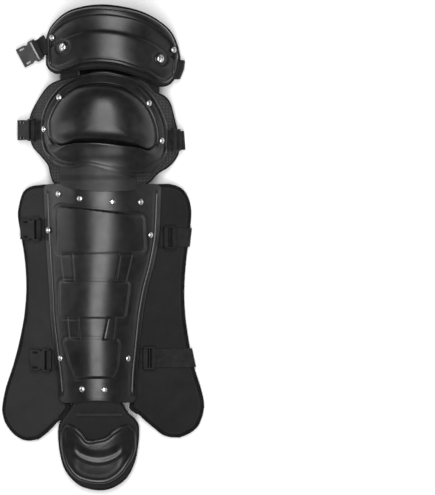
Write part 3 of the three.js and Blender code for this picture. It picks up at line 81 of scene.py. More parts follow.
LOWER_PLATE_BOTTOM = SHIN_LENGTH - LOWER_PLATE_LAP
LOWER_PLATE_TOP = LOWER_PLATE_BOTTOM + LOWER_PLATE_LENGTH
KNEE_BOTTOM = LOWER_PLATE_TOP - KNEE_LAP
KNEE_MIDDLE = KNEE_BOTTOM + KNEE_HEIGHT / 2
KNEE_PAD_BOTTOM = SHIN_LENGTH - KNEE_PAD_LAP
KNEE_PAD_MIDDLE = KNEE_PAD_BOTTOM + KNEE_PAD_HEIGHT / 2
THIGH_BOTTOM = KNEE_BOTTOM + KNEE_HEIGHT - THIGH_LAP
THIGH_MIDDLE = THIGH_BOTTOM + THIGH_HEIGHT / 2
FLAP_BOTTOM = FLAP_LAP - FLAP_LENGTH
FLAP_MIDDLE = (FLAP_LAP + FLAP_BOTTOM) / 2
TOE_CAP_MIDDLE = FLAP_BOTTOM + TOE_CAP_MARGIN + TOE_CAP_LENGTH / 2


def shin_at(up):
    return up * SHIN_LENGTH


def knee_at(up):
    return KNEE_BOTTOM + up * KNEE_HEIGHT


def thigh_at(up):
    return THIGH_BOTTOM + up * THIGH_HEIGHT


def flap_at(down):
    return FLAP_LAP - down * FLAP_LENGTH


# The padding's front, as arches across the leg: where, sway of the middle, half width, crown and side heights
ARCHES = np.array([
    (flap_at(1.0), FLAP_SHIFT, FLAP_WIDTH / 2, 0.55 * FLAP_CROWN, 0.8 * FLAP_SIDE),
    (flap_at(0.75), FLAP_SHIFT, FLAP_WIDTH / 2, 0.8 * FLAP_CROWN, 0.9 * FLAP_SIDE),
    (flap_at(0.45), FLAP_SHIFT, FLAP_WIDTH / 2, 1.12 * FLAP_CROWN, FLAP_SIDE),
    (flap_at(0.2), FLAP_SHIFT, 0.97 * FLAP_WIDTH / 2, 0.7 * SHIN_CROWN, 0.72 * SHIN_SIDE),
    (shin_at(0.0), -0.8 * SHIN_SWAY, 0.655 * SHIN_WIDTH / 2, 0.78 * SHIN_CROWN, 0.78 * SHIN_SIDE),
    (shin_at(0.1), -0.9 * SHIN_SWAY, 0.67 * SHIN_WIDTH / 2, 0.8 * SHIN_CROWN, 0.8 * SHIN_SIDE),
    (shin_at(0.23), -0.97 * SHIN_SWAY, 0.72 * SHIN_WIDTH / 2, 0.85 * SHIN_CROWN, 0.84 * SHIN_SIDE),
    (shin_at(0.37), -SHIN_SWAY, 0.775 * SHIN_WIDTH / 2, 0.89 * SHIN_CROWN, 0.88 * SHIN_SIDE),
    (shin_at(0.51), -0.72 * SHIN_SWAY, 0.83 * SHIN_WIDTH / 2, 0.93 * SHIN_CROWN, 0.92 * SHIN_SIDE),
    (shin_at(0.645), -0.26 * SHIN_SWAY, 0.91 * SHIN_WIDTH / 2, 0.96 * SHIN_CROWN, 0.96 * SHIN_SIDE),
    (shin_at(0.785), 0, 0.965 * SHIN_WIDTH / 2, 0.98 * SHIN_CROWN, SHIN_SIDE),
    (shin_at(1.0), 0, SHIN_WIDTH / 2, SHIN_CROWN, SHIN_SIDE),
    (knee_at(0.12), 0.6 * KNEE_SHIFT, 0.95 * KNEE_WIDTH / 2, 0.96 * KNEE_CROWN, 0.9 * KNEE_SIDE),
    (knee_at(0.5), KNEE_SHIFT, KNEE_WIDTH / 2, KNEE_CROWN, KNEE_SIDE),
    (knee_at(0.85), 1.8 * KNEE_SHIFT, 0.98 * KNEE_WIDTH / 2, 0.95 * KNEE_CROWN, 0.8 * KNEE_SIDE),
    (thigh_at(0.3), 0.9 * THIGH_SHIFT, THIGH_WIDTH / 2, THIGH_CROWN, 1.15 * THIGH_SIDE),
    (thigh_at(0.6), THIGH_SHIFT, THIGH_WIDTH / 2, 0.98 * THIGH_CROWN, THIGH_SIDE),
    (thigh_at(1.0), THIGH_SHIFT, THIGH_WIDTH / 2, 0.9 * THIGH_CROWN, THIGH_SIDE),
])


def smooth(x, low, high):
    t = np.clip((np.asarray(x, float) - low) / (high - low), 0, 1)
    return t * t * (3 - 2 * t)


def lerp(a, b, t):
    return a + (b - a) * t


def band(x, start, full, fade, end):
    """1 between full and fade, and 0 before start and after end."""
    return smooth(x, start, full) * (1 - smooth(x, fade, end))


def hump(x, at, wide):
    """A rounded rise to 1 at one place."""
    return np.exp(-(((x - at) / wide) ** 2))


def unit(vectors):
    return vectors / np.linalg.norm(vectors, axis=-1, keepdims=True)


def grid(up, across):
    """Two rows of values as two arrays, the first from row to row and the second along each row."""
    return np.meshgrid(up, across, indexing="ij")


def lengths(line):
    """How far along a line each of its points lies."""
    return np.concatenate([[0], np.cumsum(np.linalg.norm(np.diff(line, axis=0), axis=1))])


def along_rows(places, values, y):
    """A curve through rows that never overshoots them."""
    y = np.clip(y, places[0], places[-1])
    rise = np.diff(values) / np.diff(places)
    slope = np.zeros(len(values))
    both = rise[:-1] * rise[1:] > 0
    pair = np.where(both, rise[:-1] + rise[1:], 1)
    slope[1:-1] = np.where(both, 2 * rise[:-1] * rise[1:] / pair, 0)
    i = np.clip(np.searchsorted(places, y, side="right") - 1, 0, len(places) - 2)
    step = places[i + 1] - places[i]
    t = (y - places[i]) / step
    bend = step * (t * (1 - t) ** 2 * slope[i] - t * t * (1 - t) * slope[i + 1])
    return (1 + 2 * t) * (1 - t) ** 2 * values[i] + t * t * (3 - 2 * t) * values[i + 1] + bend


def arch_at(y):
    """Sway, half width, crown height and side height of the arch at y."""
    y = np.asarray(y, float)
    return [along_rows(ARCHES[:, 0], ARCHES[:, n], y) for n in (1, 2, 3, 4)]


def pad_front(x, y):
    """Height of the padding's front above the floor."""
    sway, half, crown, side = arch_at(y)
    return side + (crown - side) * (1 - (np.abs(x - sway) / half) ** ARCH_POWER)


def wing_front(x, y):
    """The same with the wings, which flare out from it and end just above the floor."""
    sway, half, _, side = arch_at(y)
    past = np.abs(x - sway) - half
    rest = WING_FLOOR + WING
    flare = rest + (side - rest) * (1 - np.clip(past / FLARE_REACH, 0, 1)) ** FLARE_POWER
    return np.where(past <= 0, pad_front(x, y), flare)


def normal_of(front, x, y):
    step = 0.5
    dx = (front(x + step, y) - front(x - step, y)) / (2 * step)
    dy = (front(x, y + step) - front(x, y - step)) / (2 * step)
    return unit(np.stack([-dx, -dy, np.ones_like(dx)], -1))


def raised(front, x, y, layer=0.0, relief=0.0):
    """A surface that lies a layer's thickness over a front, with a relief added to its height."""
    n = normal_of(front, x, y)
    return np.stack([x, y, front(x, y) + layer / n[..., 2] + relief], -1)


def behind(front, points, wall):
    """Points moved back by a wall's thickness."""
    n = normal_of(front, points[..., 0], points[..., 1])
    return points - n * np.asarray(wall)[..., None]


# Building meshes
def world(points):
    """In metres in the part's frame, with soft edges resting on the floor."""
    points = np.array(points, float).reshape(-1, 3)
    points[:, 1] += SHIFT_Y
    points[:, 2] = np.maximum(points[:, 2], 0)
    return points * MM


def linked(name, data):
    obj = bpy.data.objects.new(name, data)
    bpy.context.scene.collection.objects.link(obj)
    return obj


def add_object(name, points, faces, uvs=None):
    mesh = bpy.data.meshes.new(name)
    mesh.from_pydata(world(points).tolist(), [], faces)
    mesh.update()
    mesh.polygons.foreach_set("use_smooth", [True] * len(mesh.polygons))
    if uvs is not None:
        layer = mesh.uv_layers.new(name="length")
        loops = np.zeros(len(mesh.loops), int)
        mesh.loops.foreach_get("vertex_index", loops)
        layer.data.foreach_set("uv", np.asarray(uvs, float)[loops].ravel())
    return linked(name, mesh)


def sheet_faces(rows, columns):
    """Faces of a closed sheet between a front and a back grid of points."""
    back = rows * columns
    index = np.arange(back).reshape(rows, columns)
    a, b, c, d = index[:-1, :-1], index[:-1, 1:], index[1:, 1:], index[1:, :-1]
    front = np.stack([a, b, c, d], -1).reshape(-1, 4)
    rear = np.stack([a, d, c, b], -1).reshape(-1, 4) + back
    rim = np.concatenate([index[0, :], index[1:, -1], index[-1, -2::-1], index[-2:0:-1, 0]])
    after = np.roll(rim, -1)
    edge = np.stack([after, rim, rim + back, after + back], -1)
    return np.concatenate([front, rear, edge]).tolist()


def sheet_object(name, face, back):
    rows, columns = face.shape[:2]
    points = np.concatenate([face.reshape(-1, 3), back.reshape(-1, 3)])
    return add_object(name, points, sheet_faces(rows, columns))


def round_object(name, face, back):
    """A closed piece from a face and a back of rings from the middle outwards, the middle point first."""
    rings, around = face.shape[:2]
    points, faces = [], []
    for side, grid in enumerate((face, back)):
        start = len(points)
        points.append(grid[0, 0])
        points.extend(grid[1:].reshape(-1, 3))
        for k in range(around):
            nxt = (k + 1) % around
            tri = [start, start + 1 + k, start + 1 + nxt]
            faces.append(tri if side == 0 else tri[::-1])
            for r in range(rings - 2):
                low, high = start + 1 + r * around, start + 1 + (r + 1) * around
                quad = [low + k, high + k, high + nxt, low + nxt]
                faces.append(quad if side == 0 else quad[::-1])
    size = 1 + (rings - 1) * around
    outer = 1 + (rings - 2) * around
    for k in range(around):
        nxt = (k + 1) % around
        faces.append([outer + k, size + outer + k, size + outer + nxt, outer + nxt])
    return add_object(name, np.array(points), faces)


def closed_curve(table, middle, size, count):
    """Evenly spaced points on a smooth closed outline through shares of a width and a height."""
    points = np.array(table) * size + middle
    n, steps = len(points), 24
    line = []
    for i in range(n):
        p0, p1, p2, p3 = points[i - 1], points[i], points[(i + 1) % n], points[(i + 2) % n]
        d0, d1, d2 = (np.linalg.norm(b - a) ** 0.5 for a, b in ((p0, p1), (p1, p2), (p2, p3)))
        t1 = ((p1 - p0) / d0 - (p2 - p0) / (d0 + d1) + (p2 - p1) / d1) * d1
        t2 = ((p2 - p1) / d1 - (p3 - p1) / (d1 + d2) + (p3 - p2) / d2) * d1
        t = np.linspace(0, 1, steps, endpoint=False)[:, None]
        line.append((2 * t**3 - 3 * t**2 + 1) * p1 + (t**3 - 2 * t**2 + t) * t1
                    + (3 * t**2 - 2 * t**3) * p2 + (t**3 - t**2) * t2)
    return spaced(np.concatenate(line), count)


def spaced(line, count, closed=True):
    """Evenly spaced points along a line."""
    loop = np.concatenate([line, line[:1]]) if closed else line
    length = lengths(loop)
    at = np.linspace(0, length[-1], count, endpoint=not closed)
    return np.stack([np.interp(at, length, loop[:, n]) for n in range(loop.shape[1])], -1)


def spline(points, at):
    """A smooth open curve through points, at row numbers that need not be whole."""
    points = np.asarray(points, float)
    last = len(points) - 1
    i = np.clip(np.floor(at).astype(int), 0, last - 1)
    t = (at - i)[:, None]
    p, a, b, q = (points[np.clip(i + n, 0, last)] for n in (-1, 0, 1, 2))
    return 0.5 * (2 * a + (b - p) * t + (2 * p - 5 * a + 4 * b - q) * t**2 + (3 * a - p - 3 * b + q) * t**3)


def distance_to(line, x, y):
    """Distance in plan from points to a closed line."""
    shape = np.shape(x)
    x, y = np.ravel(x), np.ravel(y)
    best = np.full(x.shape, 1e9)
    a, b = line, np.roll(line, -1, axis=0)
    for (ax, ay), (bx, by) in zip(a, b):
        dx, dy = bx - ax, by - ay
        t = np.clip(((x - ax) * dx + (y - ay) * dy) / max(dx * dx + dy * dy, 1e-9), 0, 1)
        best = np.minimum(best, (x - ax - t * dx) ** 2 + (y - ay - t * dy) ** 2)
    return np.sqrt(best).reshape(shape)


def inside(line, x, y):
    """Whether points lie inside a closed line."""
    shape = np.shape(x)
    x, y = np.ravel(x), np.ravel(y)
    odd = np.zeros(x.shape, bool)
    a, b = line, np.roll(line, -1, axis=0)
    for (ax, ay), (bx, by) in zip(a, b):
        if ay == by:
            continue
        odd ^= ((ay > y) != (by > y)) & (x < (bx - ax) * (y - ay) / (by - ay) + ax)
    return odd.reshape(shape)


def plateau(corners, x, y, round_by, bevel):
    """Two shares: 1 on a panel with rounded corners and a bevelled edge, and 1 in the groove round it."""
    line = np.array(corners, float)
    pulled = line - round_by * unit(line - line.mean(0))
    # Corners pulled in by a radius take the sides in by this share of it
    side_share = 0.72
    signed = distance_to(pulled, x, y) * np.where(inside(pulled, x, y), -1, 1) - side_share * round_by
    return 1 - smooth(signed, -bevel / 2, bevel / 2), hump(signed, 1.1 * bevel, 0.7 * bevel)


def ripple(x, y, length, seed):
    """A gentle unevenness of about 1 either way, from a few waves."""
    total = 0
    for n in range(5):
        turn = 2.4 * (n + seed)
        pace = 2 * math.pi / (length * (0.7 + 0.27 * n))
        total = total + np.sin(pace * (x * math.cos(turn) + y * math.sin(turn)) + 1.7 * n * seed)
    return total / 3


# Moulded shells
# Foot and top of each column across the thigh, as shares of its width and height from its middle
THIGH_COLUMNS = [
    ((-0.488, -0.23), (-0.492, 0.085)), ((-0.46, -0.3), (-0.473, 0.19)),
    ((-0.407, -0.342), (-0.43, 0.295)), ((-0.326, -0.317), (-0.341, 0.415)),
    ((-0.223, -0.265), (-0.223, 0.477)), ((-0.091, -0.248), (-0.076, 0.5)),
    ((0.056, -0.275), (0.07, 0.478)), ((0.203, -0.355), (0.203, 0.428)),
    ((0.291, -0.412), (0.313, 0.346)), ((0.35, -0.475), (0.402, 0.239)),
    ((0.409, -0.494), (0.449, 0.138)), ((0.456, -0.418), (0.48, 0.011)),
    ((0.486, -0.298), (0.497, -0.128)),
]
# How far up the thigh cap, and the relief there as a share of the rim's rise
THIGH_ROWS = np.array([
    (0.0, 0.0), (0.03, 0.45), (0.06, 0.55), (0.085, 0.3), (0.11, 0.42), (0.14, 0.5), (0.3, 0.62),
    (0.5, 0.62), (0.545, 0.5), (0.575, 0.06), (0.61, 0.0), (0.7, 0.08), (0.78, 0.26), (0.835, 0.5),
    (0.865, 0.9), (0.89, 1.0), (0.935, 0.98), (0.955, 0.8), (0.968, 0.84), (1.0, 0.0),
])
SCREWS = [(THIGH_SHIFT - 0.36 * THIGH_WIDTH, THIGH_MIDDLE - 0.027 * THIGH_HEIGHT),
          (THIGH_SHIFT + 0.357 * THIGH_WIDTH, THIGH_MIDDLE - 0.172 * THIGH_HEIGHT)]
POCKET_DEPTH = 1.5


def thigh_points(across, up, inset, ease=0.0, hem=0.0):
    """The thigh in plan, inset all round, with its sides eased out and its lower middle let down."""
    columns = np.array(THIGH_COLUMNS).reshape(-1, 4)
    share = spline(columns, across * (len(columns) - 1))
    x = share[:, 0] + (share[:, 2] - share[:, 0]) * up[:, None]
    y = share[:, 1] + (share[:, 3] - share[:, 1]) * up[:, None]
    drop = hem * band(across, 0.2, 0.36, 0.7, 0.85) * (1 - smooth(up, 0, 0.3))[:, None]
    wide, tall = THIGH_WIDTH - 2 * inset + 2 * ease, THIGH_HEIGHT - 2 * inset
    return THIGH_SHIFT + wide * x, THIGH_MIDDLE + tall * y - drop


def crowded(count, ends=0.35):
    """Shares from 0 to 1 that lie closer together at both ends."""
    t = np.linspace(0, 1, count)
    return lerp(t, (1 - np.cos(math.pi * t)) / 2, ends)


def thigh_cap():
    across, up = crowded(int(190 * FINE), 0.6), crowded(int(110 * FINE), 0.4)
    x, y = thigh_points(across, up, CAP_INSET)
    up, across = grid(up, across)
    side = np.minimum(across, 1 - across)
    row = along_rows(*THIGH_ROWS.T, up)
    rim = smooth(side, 0, 0.028) * np.maximum(row, 0.98 * smooth(up, 0.02, 0.12))
    rim -= 0.12 * hump(side, 0.03, 0.006) * smooth(up, 0.1, 0.2)
    relief = THIGH_RIM_RISE * lerp(rim, row, smooth(side, 0.055, 0.1))
    for sx, sy in SCREWS:
        relief -= POCKET_DEPTH * band(np.hypot(x - sx, y - sy), 6.5, 8, 10, 13)
    face = raised(pad_front, x, y, SHELL_FACE, relief)
    return sheet_object("thigh_shell", face, behind(pad_front, face, SHELL_WALL))


# Outlines, here and below, are shares of a width and a height from the middle
KNEE_OUTLINE = [
    (-0.015, 0.5), (-0.195, 0.45), (-0.35, 0.35), (-0.46, 0.18), (-0.5, -0.03), (-0.47, -0.245),
    (-0.38, -0.375), (-0.27, -0.41), (-0.115, -0.39), (0.04, -0.43), (0.2, -0.48), (0.275, -0.5),
    (0.355, -0.485), (0.44, -0.385), (0.49, -0.245), (0.495, -0.03), (0.45, 0.135), (0.355, 0.315),
    (0.235, 0.43), (0.08, 0.485),
]
DOME_OUTLINE = [
    (-0.015, 0.375), (-0.155, 0.36), (-0.235, 0.325), (-0.335, 0.23), (-0.42, 0.04), (-0.42, -0.055),
    (-0.405, -0.13), (-0.335, -0.19), (-0.195, -0.165), (-0.035, -0.165), (0.12, -0.18), (0.275, -0.215),
    (0.355, -0.24), (0.4, -0.17), (0.4, -0.055), (0.38, 0.04), (0.34, 0.145), (0.275, 0.24), (0.2, 0.305),
    (0.12, 0.35),
]
# Heights between the dome and the edge: the flange at the sides and at the top, the rim and the groove
# inside it, the lip below and the line at its foot
FLANGE_SIDE, FLANGE_TOP, KNEE_RIM, KNEE_GROOVE, KNEE_LIP, LIP_LINE = 2.5, 3.8, 1.9, 0.5, 11.0, 0.8


def lower_plate_floor(y):
    lap = SHELL_FACE + 2 * SEAT - SHELL_FLOOR
    return SHELL_FLOOR + lap * (1 - smooth(y, SHIN_LENGTH + 2, SHIN_LENGTH + 16))


def knee_floor(y):
    over = lower_plate_floor(y) + LOWER_PLATE_WALL + 3 * SEAT - SHELL_FLOOR
    return SHELL_FLOOR + over * (1 - smooth(y, LOWER_PLATE_TOP + 3, LOWER_PLATE_TOP + 26))


def meet_outline(outline, middle, points):
    """Where the lines from a middle through points meet a closed outline."""
    found = []
    a, b = outline, np.roll(outline, -1, axis=0)
    edge = b - a
    for p in points:
        way = unit(p - middle)
        cross = way[0] * edge[:, 1] - way[1] * edge[:, 0]
        reach = ((a[:, 0] - middle[0]) * edge[:, 1] - (a[:, 1] - middle[1]) * edge[:, 0]) / cross
        share = ((a[:, 0] - middle[0]) * way[1] - (a[:, 1] - middle[1]) * way[0]) / cross
        good = (reach > 0) & (share >= 0) & (share <= 1)
        found.append(middle + way * reach[good].min())
    return np.array(found)


def knee_cap():
    around = int(300 * FINE)
    middle, size = np.array([KNEE_SHIFT, KNEE_MIDDLE]), np.array([KNEE_WIDTH, KNEE_HEIGHT])
    heart = middle + (0, 0.06 * KNEE_HEIGHT)
    edge = closed_curve(KNEE_OUTLINE, middle, size, around)
    dome = meet_outline(closed_curve(DOME_OUTLINE, middle, size, 4 * around), heart, edge)
    inner = 1 - (1 - np.linspace(0, 1, int(50 * FINE))) ** 1.5
    outer = np.linspace(0, 1, int(40 * FINE))[1:]
    rows = [(heart + (dome - heart) * s, np.full(around, DOME_RISE * (1 - s**4) ** 0.6)) for s in inner]
    up = (edge[:, 1] - KNEE_MIDDLE) / KNEE_HEIGHT
    low, high = smooth(-up, 0.22, 0.36), smooth(up, 0.3, 0.45)
    for s in outer:
        level = FLANGE_SIDE * band(s, 0.05, 0.3, 0.58, 0.74)
        slope = FLANGE_TOP * smooth(s, 0, 0.14) * np.clip((0.76 - s) / 0.64, 0, 1)
        rim = KNEE_RIM * band(s, 0.8, 0.87, 0.93, 1.0) - KNEE_GROOVE * hump(s, 0.78, 0.04)
        lip = KNEE_LIP * smooth(s, 0, 0.08) * np.clip((0.84 - s) / 0.74, 0, 1) ** 1.5
        lip += LIP_LINE * hump(s, 0.84, 0.03)
        rows.append((dome + (edge - dome) * s, lerp(lerp(level, slope, high) + rim, lip, low)))
    x, y = (np.array([r[0][:, n] for r in rows]) for n in (0, 1))
    relief = np.array([r[1] for r in rows])
    face = raised(pad_front, x, y, knee_floor(y) + SHELL_WALL, relief)
    return round_object("knee_shell", face, behind(pad_front, face, SHELL_WALL))


# Across the plate, and how far its lower edge lies above its lowest place as a share of the lap
LOWER_PLATE_EDGE = np.array([
    (0.0, 1.05), (0.03, 0.75), (0.12, 0.45), (0.24, 0.27), (0.38, 0.1), (0.56, 0.0), (0.75, 0.03),
    (0.9, 0.08), (0.97, 0.2), (1.0, 0.5),
])


def lower_knee_plate():
    up, across = grid(crowded(int(50 * FINE)), crowded(int(110 * FINE)))
    x = 0.35 * KNEE_SHIFT + (across - 0.557) * LOWER_PLATE_WIDTH
    bottom = LOWER_PLATE_BOTTOM + along_rows(*LOWER_PLATE_EDGE.T, across) * LOWER_PLATE_LAP
    y = lerp(bottom, LOWER_PLATE_TOP, up)
    face = raised(pad_front, x, y, lower_plate_floor(y) + LOWER_PLATE_WALL)
    return sheet_object("lower_knee_shell", face, behind(pad_front, face, LOWER_PLATE_WALL))


# Raised panels and spines of the shin plate, each over those after it: corners clockwise from the top left,
# height as a share of the panel's rise, corner radius and bevel
PANELS = [
    ([(-70, 288), (30, 281), (65, 273), (66, 225), (-69, 224)], 1.0, 9, 2.6),
    ([(-64, 178), (43, 176), (37, 128), (-65, 129)], 1.0, 8, 2.6),
    ([(-57, 93), (27, 92), (26, 52), (20, 38), (-42, 37), (-51, 60)], 1.0, 8, 2.6),
    ([(-43, 223), (27, 222), (20, 178), (-40, 178)], 0.82, 2, 1.3),
    ([(-62, 221), (46, 219), (37, 179), (-57, 179)], 0.4, 2, 1.4),
    ([(-34, 129), (9, 127), (2, 92), (-31, 92)], 0.82, 2, 1.3),
    ([(-51, 129), (22, 126), (18, 92), (-48, 92)], 0.4, 2, 1.4),
]
PANEL_GROOVE, BEAD_GROOVE, PLATE_CORNER, FOOT_SWELL, FOOT_CURVE = 0.5, 0.9, 9.0, 0.4, 2.2


def shin_plate():
    up, across = grid(crowded(int(270 * FINE), 0.25), 2 * crowded(int(150 * FINE), 0.4) - 1)
    y = shin_at(up)
    sway, half = arch_at(y)[:2]
    reach = np.clip(np.minimum(y, SHIN_LENGTH - y), 0, None)
    short = np.clip(PLATE_CORNER - reach, 0, None)
    x = sway + across * (half - PLATE_CORNER + np.sqrt(PLATE_CORNER**2 - short**2))
    share = np.abs(x - sway) / half
    inward = (1 - share) * half
    bead = 1.5 * EDGE_RIDGE_RISE * hump(inward, 4.6, 1.7) - BEAD_GROOVE * hump(inward, 8.6, 1.6)
    ground = 0
    for corners, height, round_by, bevel in PANELS[::-1]:
        rise, groove = plateau(corners, x, y, round_by, bevel)
        ground = lerp(ground, 1.15 * PANEL_RISE * height, rise) - PANEL_GROOVE * groove
    swell = FOOT_SWELL * (1 - smooth(np.abs(y - 10), 5, 10)) * (1 - smooth(share, 0.4, 0.6))
    relief = bead * smooth(reach, 6, 16) + ground + swell
    y = y + FOOT_CURVE * (1 - smooth(up, 0, 0.06)) * np.cos(across * math.pi)
    face = raised(pad_front, x, y, SHELL_FACE, relief)
    return sheet_object("shin_shell", face, behind(pad_front, face, SHELL_WALL))


TOE_CAP_OUTLINE = [
    (-0.02, 0.25), (-0.13, 0.24), (-0.21, 0.35), (-0.32, 0.46), (-0.42, 0.49), (-0.485, 0.4),
    (-0.5, 0.26), (-0.49, 0.07), (-0.43, -0.2), (-0.3, -0.4), (-0.14, -0.48), (0.0, -0.5),
    (0.13, -0.48), (0.29, -0.36), (0.4, -0.18), (0.485, 0.02), (0.5, 0.2), (0.48, 0.39),
    (0.41, 0.48), (0.32, 0.47), (0.19, 0.38), (0.1, 0.29),
]
TOE_CAP_FACE = 2.5 * SEAT + SHELL_WALL
toe_line = closed_curve(TOE_CAP_OUTLINE, (FLAP_SHIFT, TOE_CAP_MIDDLE), (TOE_CAP_WIDTH, TOE_CAP_LENGTH), 200)

# How far above the smile's crest, as a share of the cap's length, and the relief there
SMILE = np.array([(-0.38, 0.0), (-0.05, -1.0), (0.0, 0.5), (0.08, -1.9), (0.22, 0.0)])
# Shares of the toe cap's rise
TOE_ROLL, TOE_DISH, TOE_LIP = 0.55, 0.08, 0.1


def toe_relief(x, y, away):
    """Relief of the toe cap: a rolled edge, a smile across it and a low dish under the smile."""
    across, up = (x - FLAP_SHIFT) / TOE_CAP_WIDTH, (y - TOE_CAP_MIDDLE) / TOE_CAP_LENGTH
    smile = -0.135 + 1.5 * across**2
    ridge = along_rows(*SMILE.T, up - smile) * (1 - smooth(np.abs(across), 0.24, 0.33))
    dish = smooth(smile - up, 0.02, 0.06) * smooth(away, 8.5, 16)
    roll = 0.45 + 0.55 * (1 - (1 - np.clip(away / 30, 0, 1)) ** 3)
    lip = hump(away, 3.2, 1.3) - 0.5 * hump(away, 6.4, 1.4)
    relief = TOE_CAP_RISE * (TOE_ROLL * roll - TOE_DISH * dish + TOE_LIP * lip) + ridge
    return relief * smooth(away, 0, 1.6)


def instep_cap():
    around = int(260 * FINE)
    middle = np.array([FLAP_SHIFT, TOE_CAP_MIDDLE])
    heart = np.array([FLAP_SHIFT, TOE_CAP_MIDDLE - 0.1 * TOE_CAP_LENGTH])
    edge = closed_curve(TOE_CAP_OUTLINE, middle, np.array([TOE_CAP_WIDTH, TOE_CAP_LENGTH]), around)
    shares = np.concatenate([np.linspace(0, 0.85, int(45 * FINE)), np.linspace(0.85, 1, int(16 * FINE))[1:]])
    plan = heart + (edge - heart)[None] * shares[:, None, None]
    x, y = plan[..., 0], plan[..., 1]
    face = raised(pad_front, x, y, TOE_CAP_FACE, toe_relief(x, y, distance_to(edge, x, y)))
    return round_object("instep_shell", face, behind(pad_front, face, SHELL_WALL))


# Padded fabric
# How much of a pad's thickness its sewn edge loses on each face, and the length of its unevenness
EDGE_SHARE, RIPPLE_LENGTH = 0.3, 46
TAPE_WIDE, TAPE_PROUD, STITCH_LENGTH, STITCH_INSET = 5.5, 0.8, 3.6, 6.5
# Round the tape: how far out of the pad's edge, and the height as a share of the edge's half thickness
TAPE_SECTION = [
    (TAPE_PROUD, 0.0), (0.6 * TAPE_PROUD, 0.75), (-0.2 * TAPE_WIDE, 1.25), (-0.85 * TAPE_WIDE, 1.75),
    (-TAPE_WIDE, 1.6), (-TAPE_WIDE, -1.6), (-0.85 * TAPE_WIDE, -1.75), (-0.2 * TAPE_WIDE, -1.25),
    (0.6 * TAPE_PROUD, -0.75),
]


def padding(front, x, y, outline, thickness, puff=0.0, seed=1, soft=7.0):
    """Front and back of a padded sheet that thins to its edge, with a little unevenness."""
    full = smooth(distance_to(outline, x, y), 0, soft)
    pressed = EDGE_SHARE * thickness * (1 - full)
    face = raised(front, x, y)
    uneven = puff * ripple(x, y, RIPPLE_LENGTH, seed) * full
    return behind(front, face, pressed + np.maximum(uneven, 0)), behind(front, face, thickness - pressed)


def outward(outline):
    """Unit vectors out of a closed line, and 1 if it runs anticlockwise or else -1."""
    ahead, before = np.roll(outline, -1, axis=0), np.roll(outline, 1, axis=0)
    way = unit(ahead - before)
    turn = 1 if np.sum(outline[:, 0] * ahead[:, 1] - ahead[:, 0] * outline[:, 1]) > 0 else -1
    return turn * np.stack([way[:, 1], -way[:, 0]], -1), turn


def binding(name, front, outline, thickness):
    """Folded tape sewn round a padded edge."""
    out, way_round = outward(outline)
    n = normal_of(front, outline[:, 0], outline[:, 1])
    middle = behind(front, raised(front, outline[:, 0], outline[:, 1]), thickness / 2)
    side = np.concatenate([out, np.zeros((len(out), 1))], 1)
    side = unit(side - n * np.sum(side * n, axis=1, keepdims=True))
    edge_half = (0.5 - EDGE_SHARE) * thickness
    points = np.stack([middle + side * u + n * (v * edge_half) for u, v in TAPE_SECTION], 1)
    count, around = points.shape[:2]
    index = np.arange(count * around).reshape(count, around)
    nxt, turn = np.roll(index, -1, axis=0), np.roll(index, -1, axis=1)
    faces = np.stack([index, turn, np.roll(turn, -1, axis=0), nxt], -1).reshape(-1, 4)
    if way_round < 0:
        faces = faces[:, ::-1]
    uvs = np.stack(grid(lengths(middle), np.arange(around)), -1)
    return add_object(name, points.reshape(-1, 3), faces.tolist(), uvs.reshape(-1, 2))


def moved_in(outline, by):
    """The same closed line, a little way inside itself."""
    line = outline - by * outward(outline)[0]
    return np.concatenate([line, line[:1]])


def seam(name, front, line, layer, relief=0.0, radius=0.5):
    """A thin line of stitching that stands a little proud of a surface."""
    points = raised(front, line[:, 0], line[:, 1], layer, relief)
    n = normal_of(front, line[:, 0], line[:, 1])
    side = np.cross(unit(np.gradient(points, axis=0)), n)
    turns = np.linspace(0, 2 * math.pi, 6, endpoint=False)
    swell = radius * (0.62 + 0.38 * np.abs(np.sin(math.pi * lengths(points) / STITCH_LENGTH)))[:, None]
    rings = np.stack([points + (side * math.cos(t) + n * math.sin(t)) * swell for t in turns], 1)
    count, around = rings.shape[:2]
    index = np.arange(count * around).reshape(count, around)
    a, b = index[:-1], index[1:]
    faces = np.stack([a, b, np.roll(b, -1, axis=1), np.roll(a, -1, axis=1)], -1).reshape(-1, 4).tolist()
    faces += [index[0].tolist(), index[-1][::-1].tolist()]
    return add_object(name, rings.reshape(-1, 3), faces)


# How far the sides of the thigh and knee pads lie outside those of the solids, and how far the thigh pad's
# lower middle lies below its solid's
THIGH_EASE, KNEE_EASE, THIGH_HEM = 2.5, 1.2, 5.5


def thigh_outline():
    across = np.linspace(0, 1, 80)
    x, y = thigh_points(across, np.array([0.0, 1.0]), 0.0, THIGH_EASE, THIGH_HEM)
    line = np.concatenate([np.stack([x[0], y[0]], -1), np.stack([x[1], y[1]], -1)[::-1]])
    return spaced(line, 300)


def thigh_pad():
    x, y = thigh_points(crowded(int(110 * FINE)), crowded(int(70 * FINE)), 0.0, THIGH_EASE, THIGH_HEM)
    face, back = padding(pad_front, x, y, thigh_outline(), PAD)
    return sheet_object("thigh_padding", face, back)


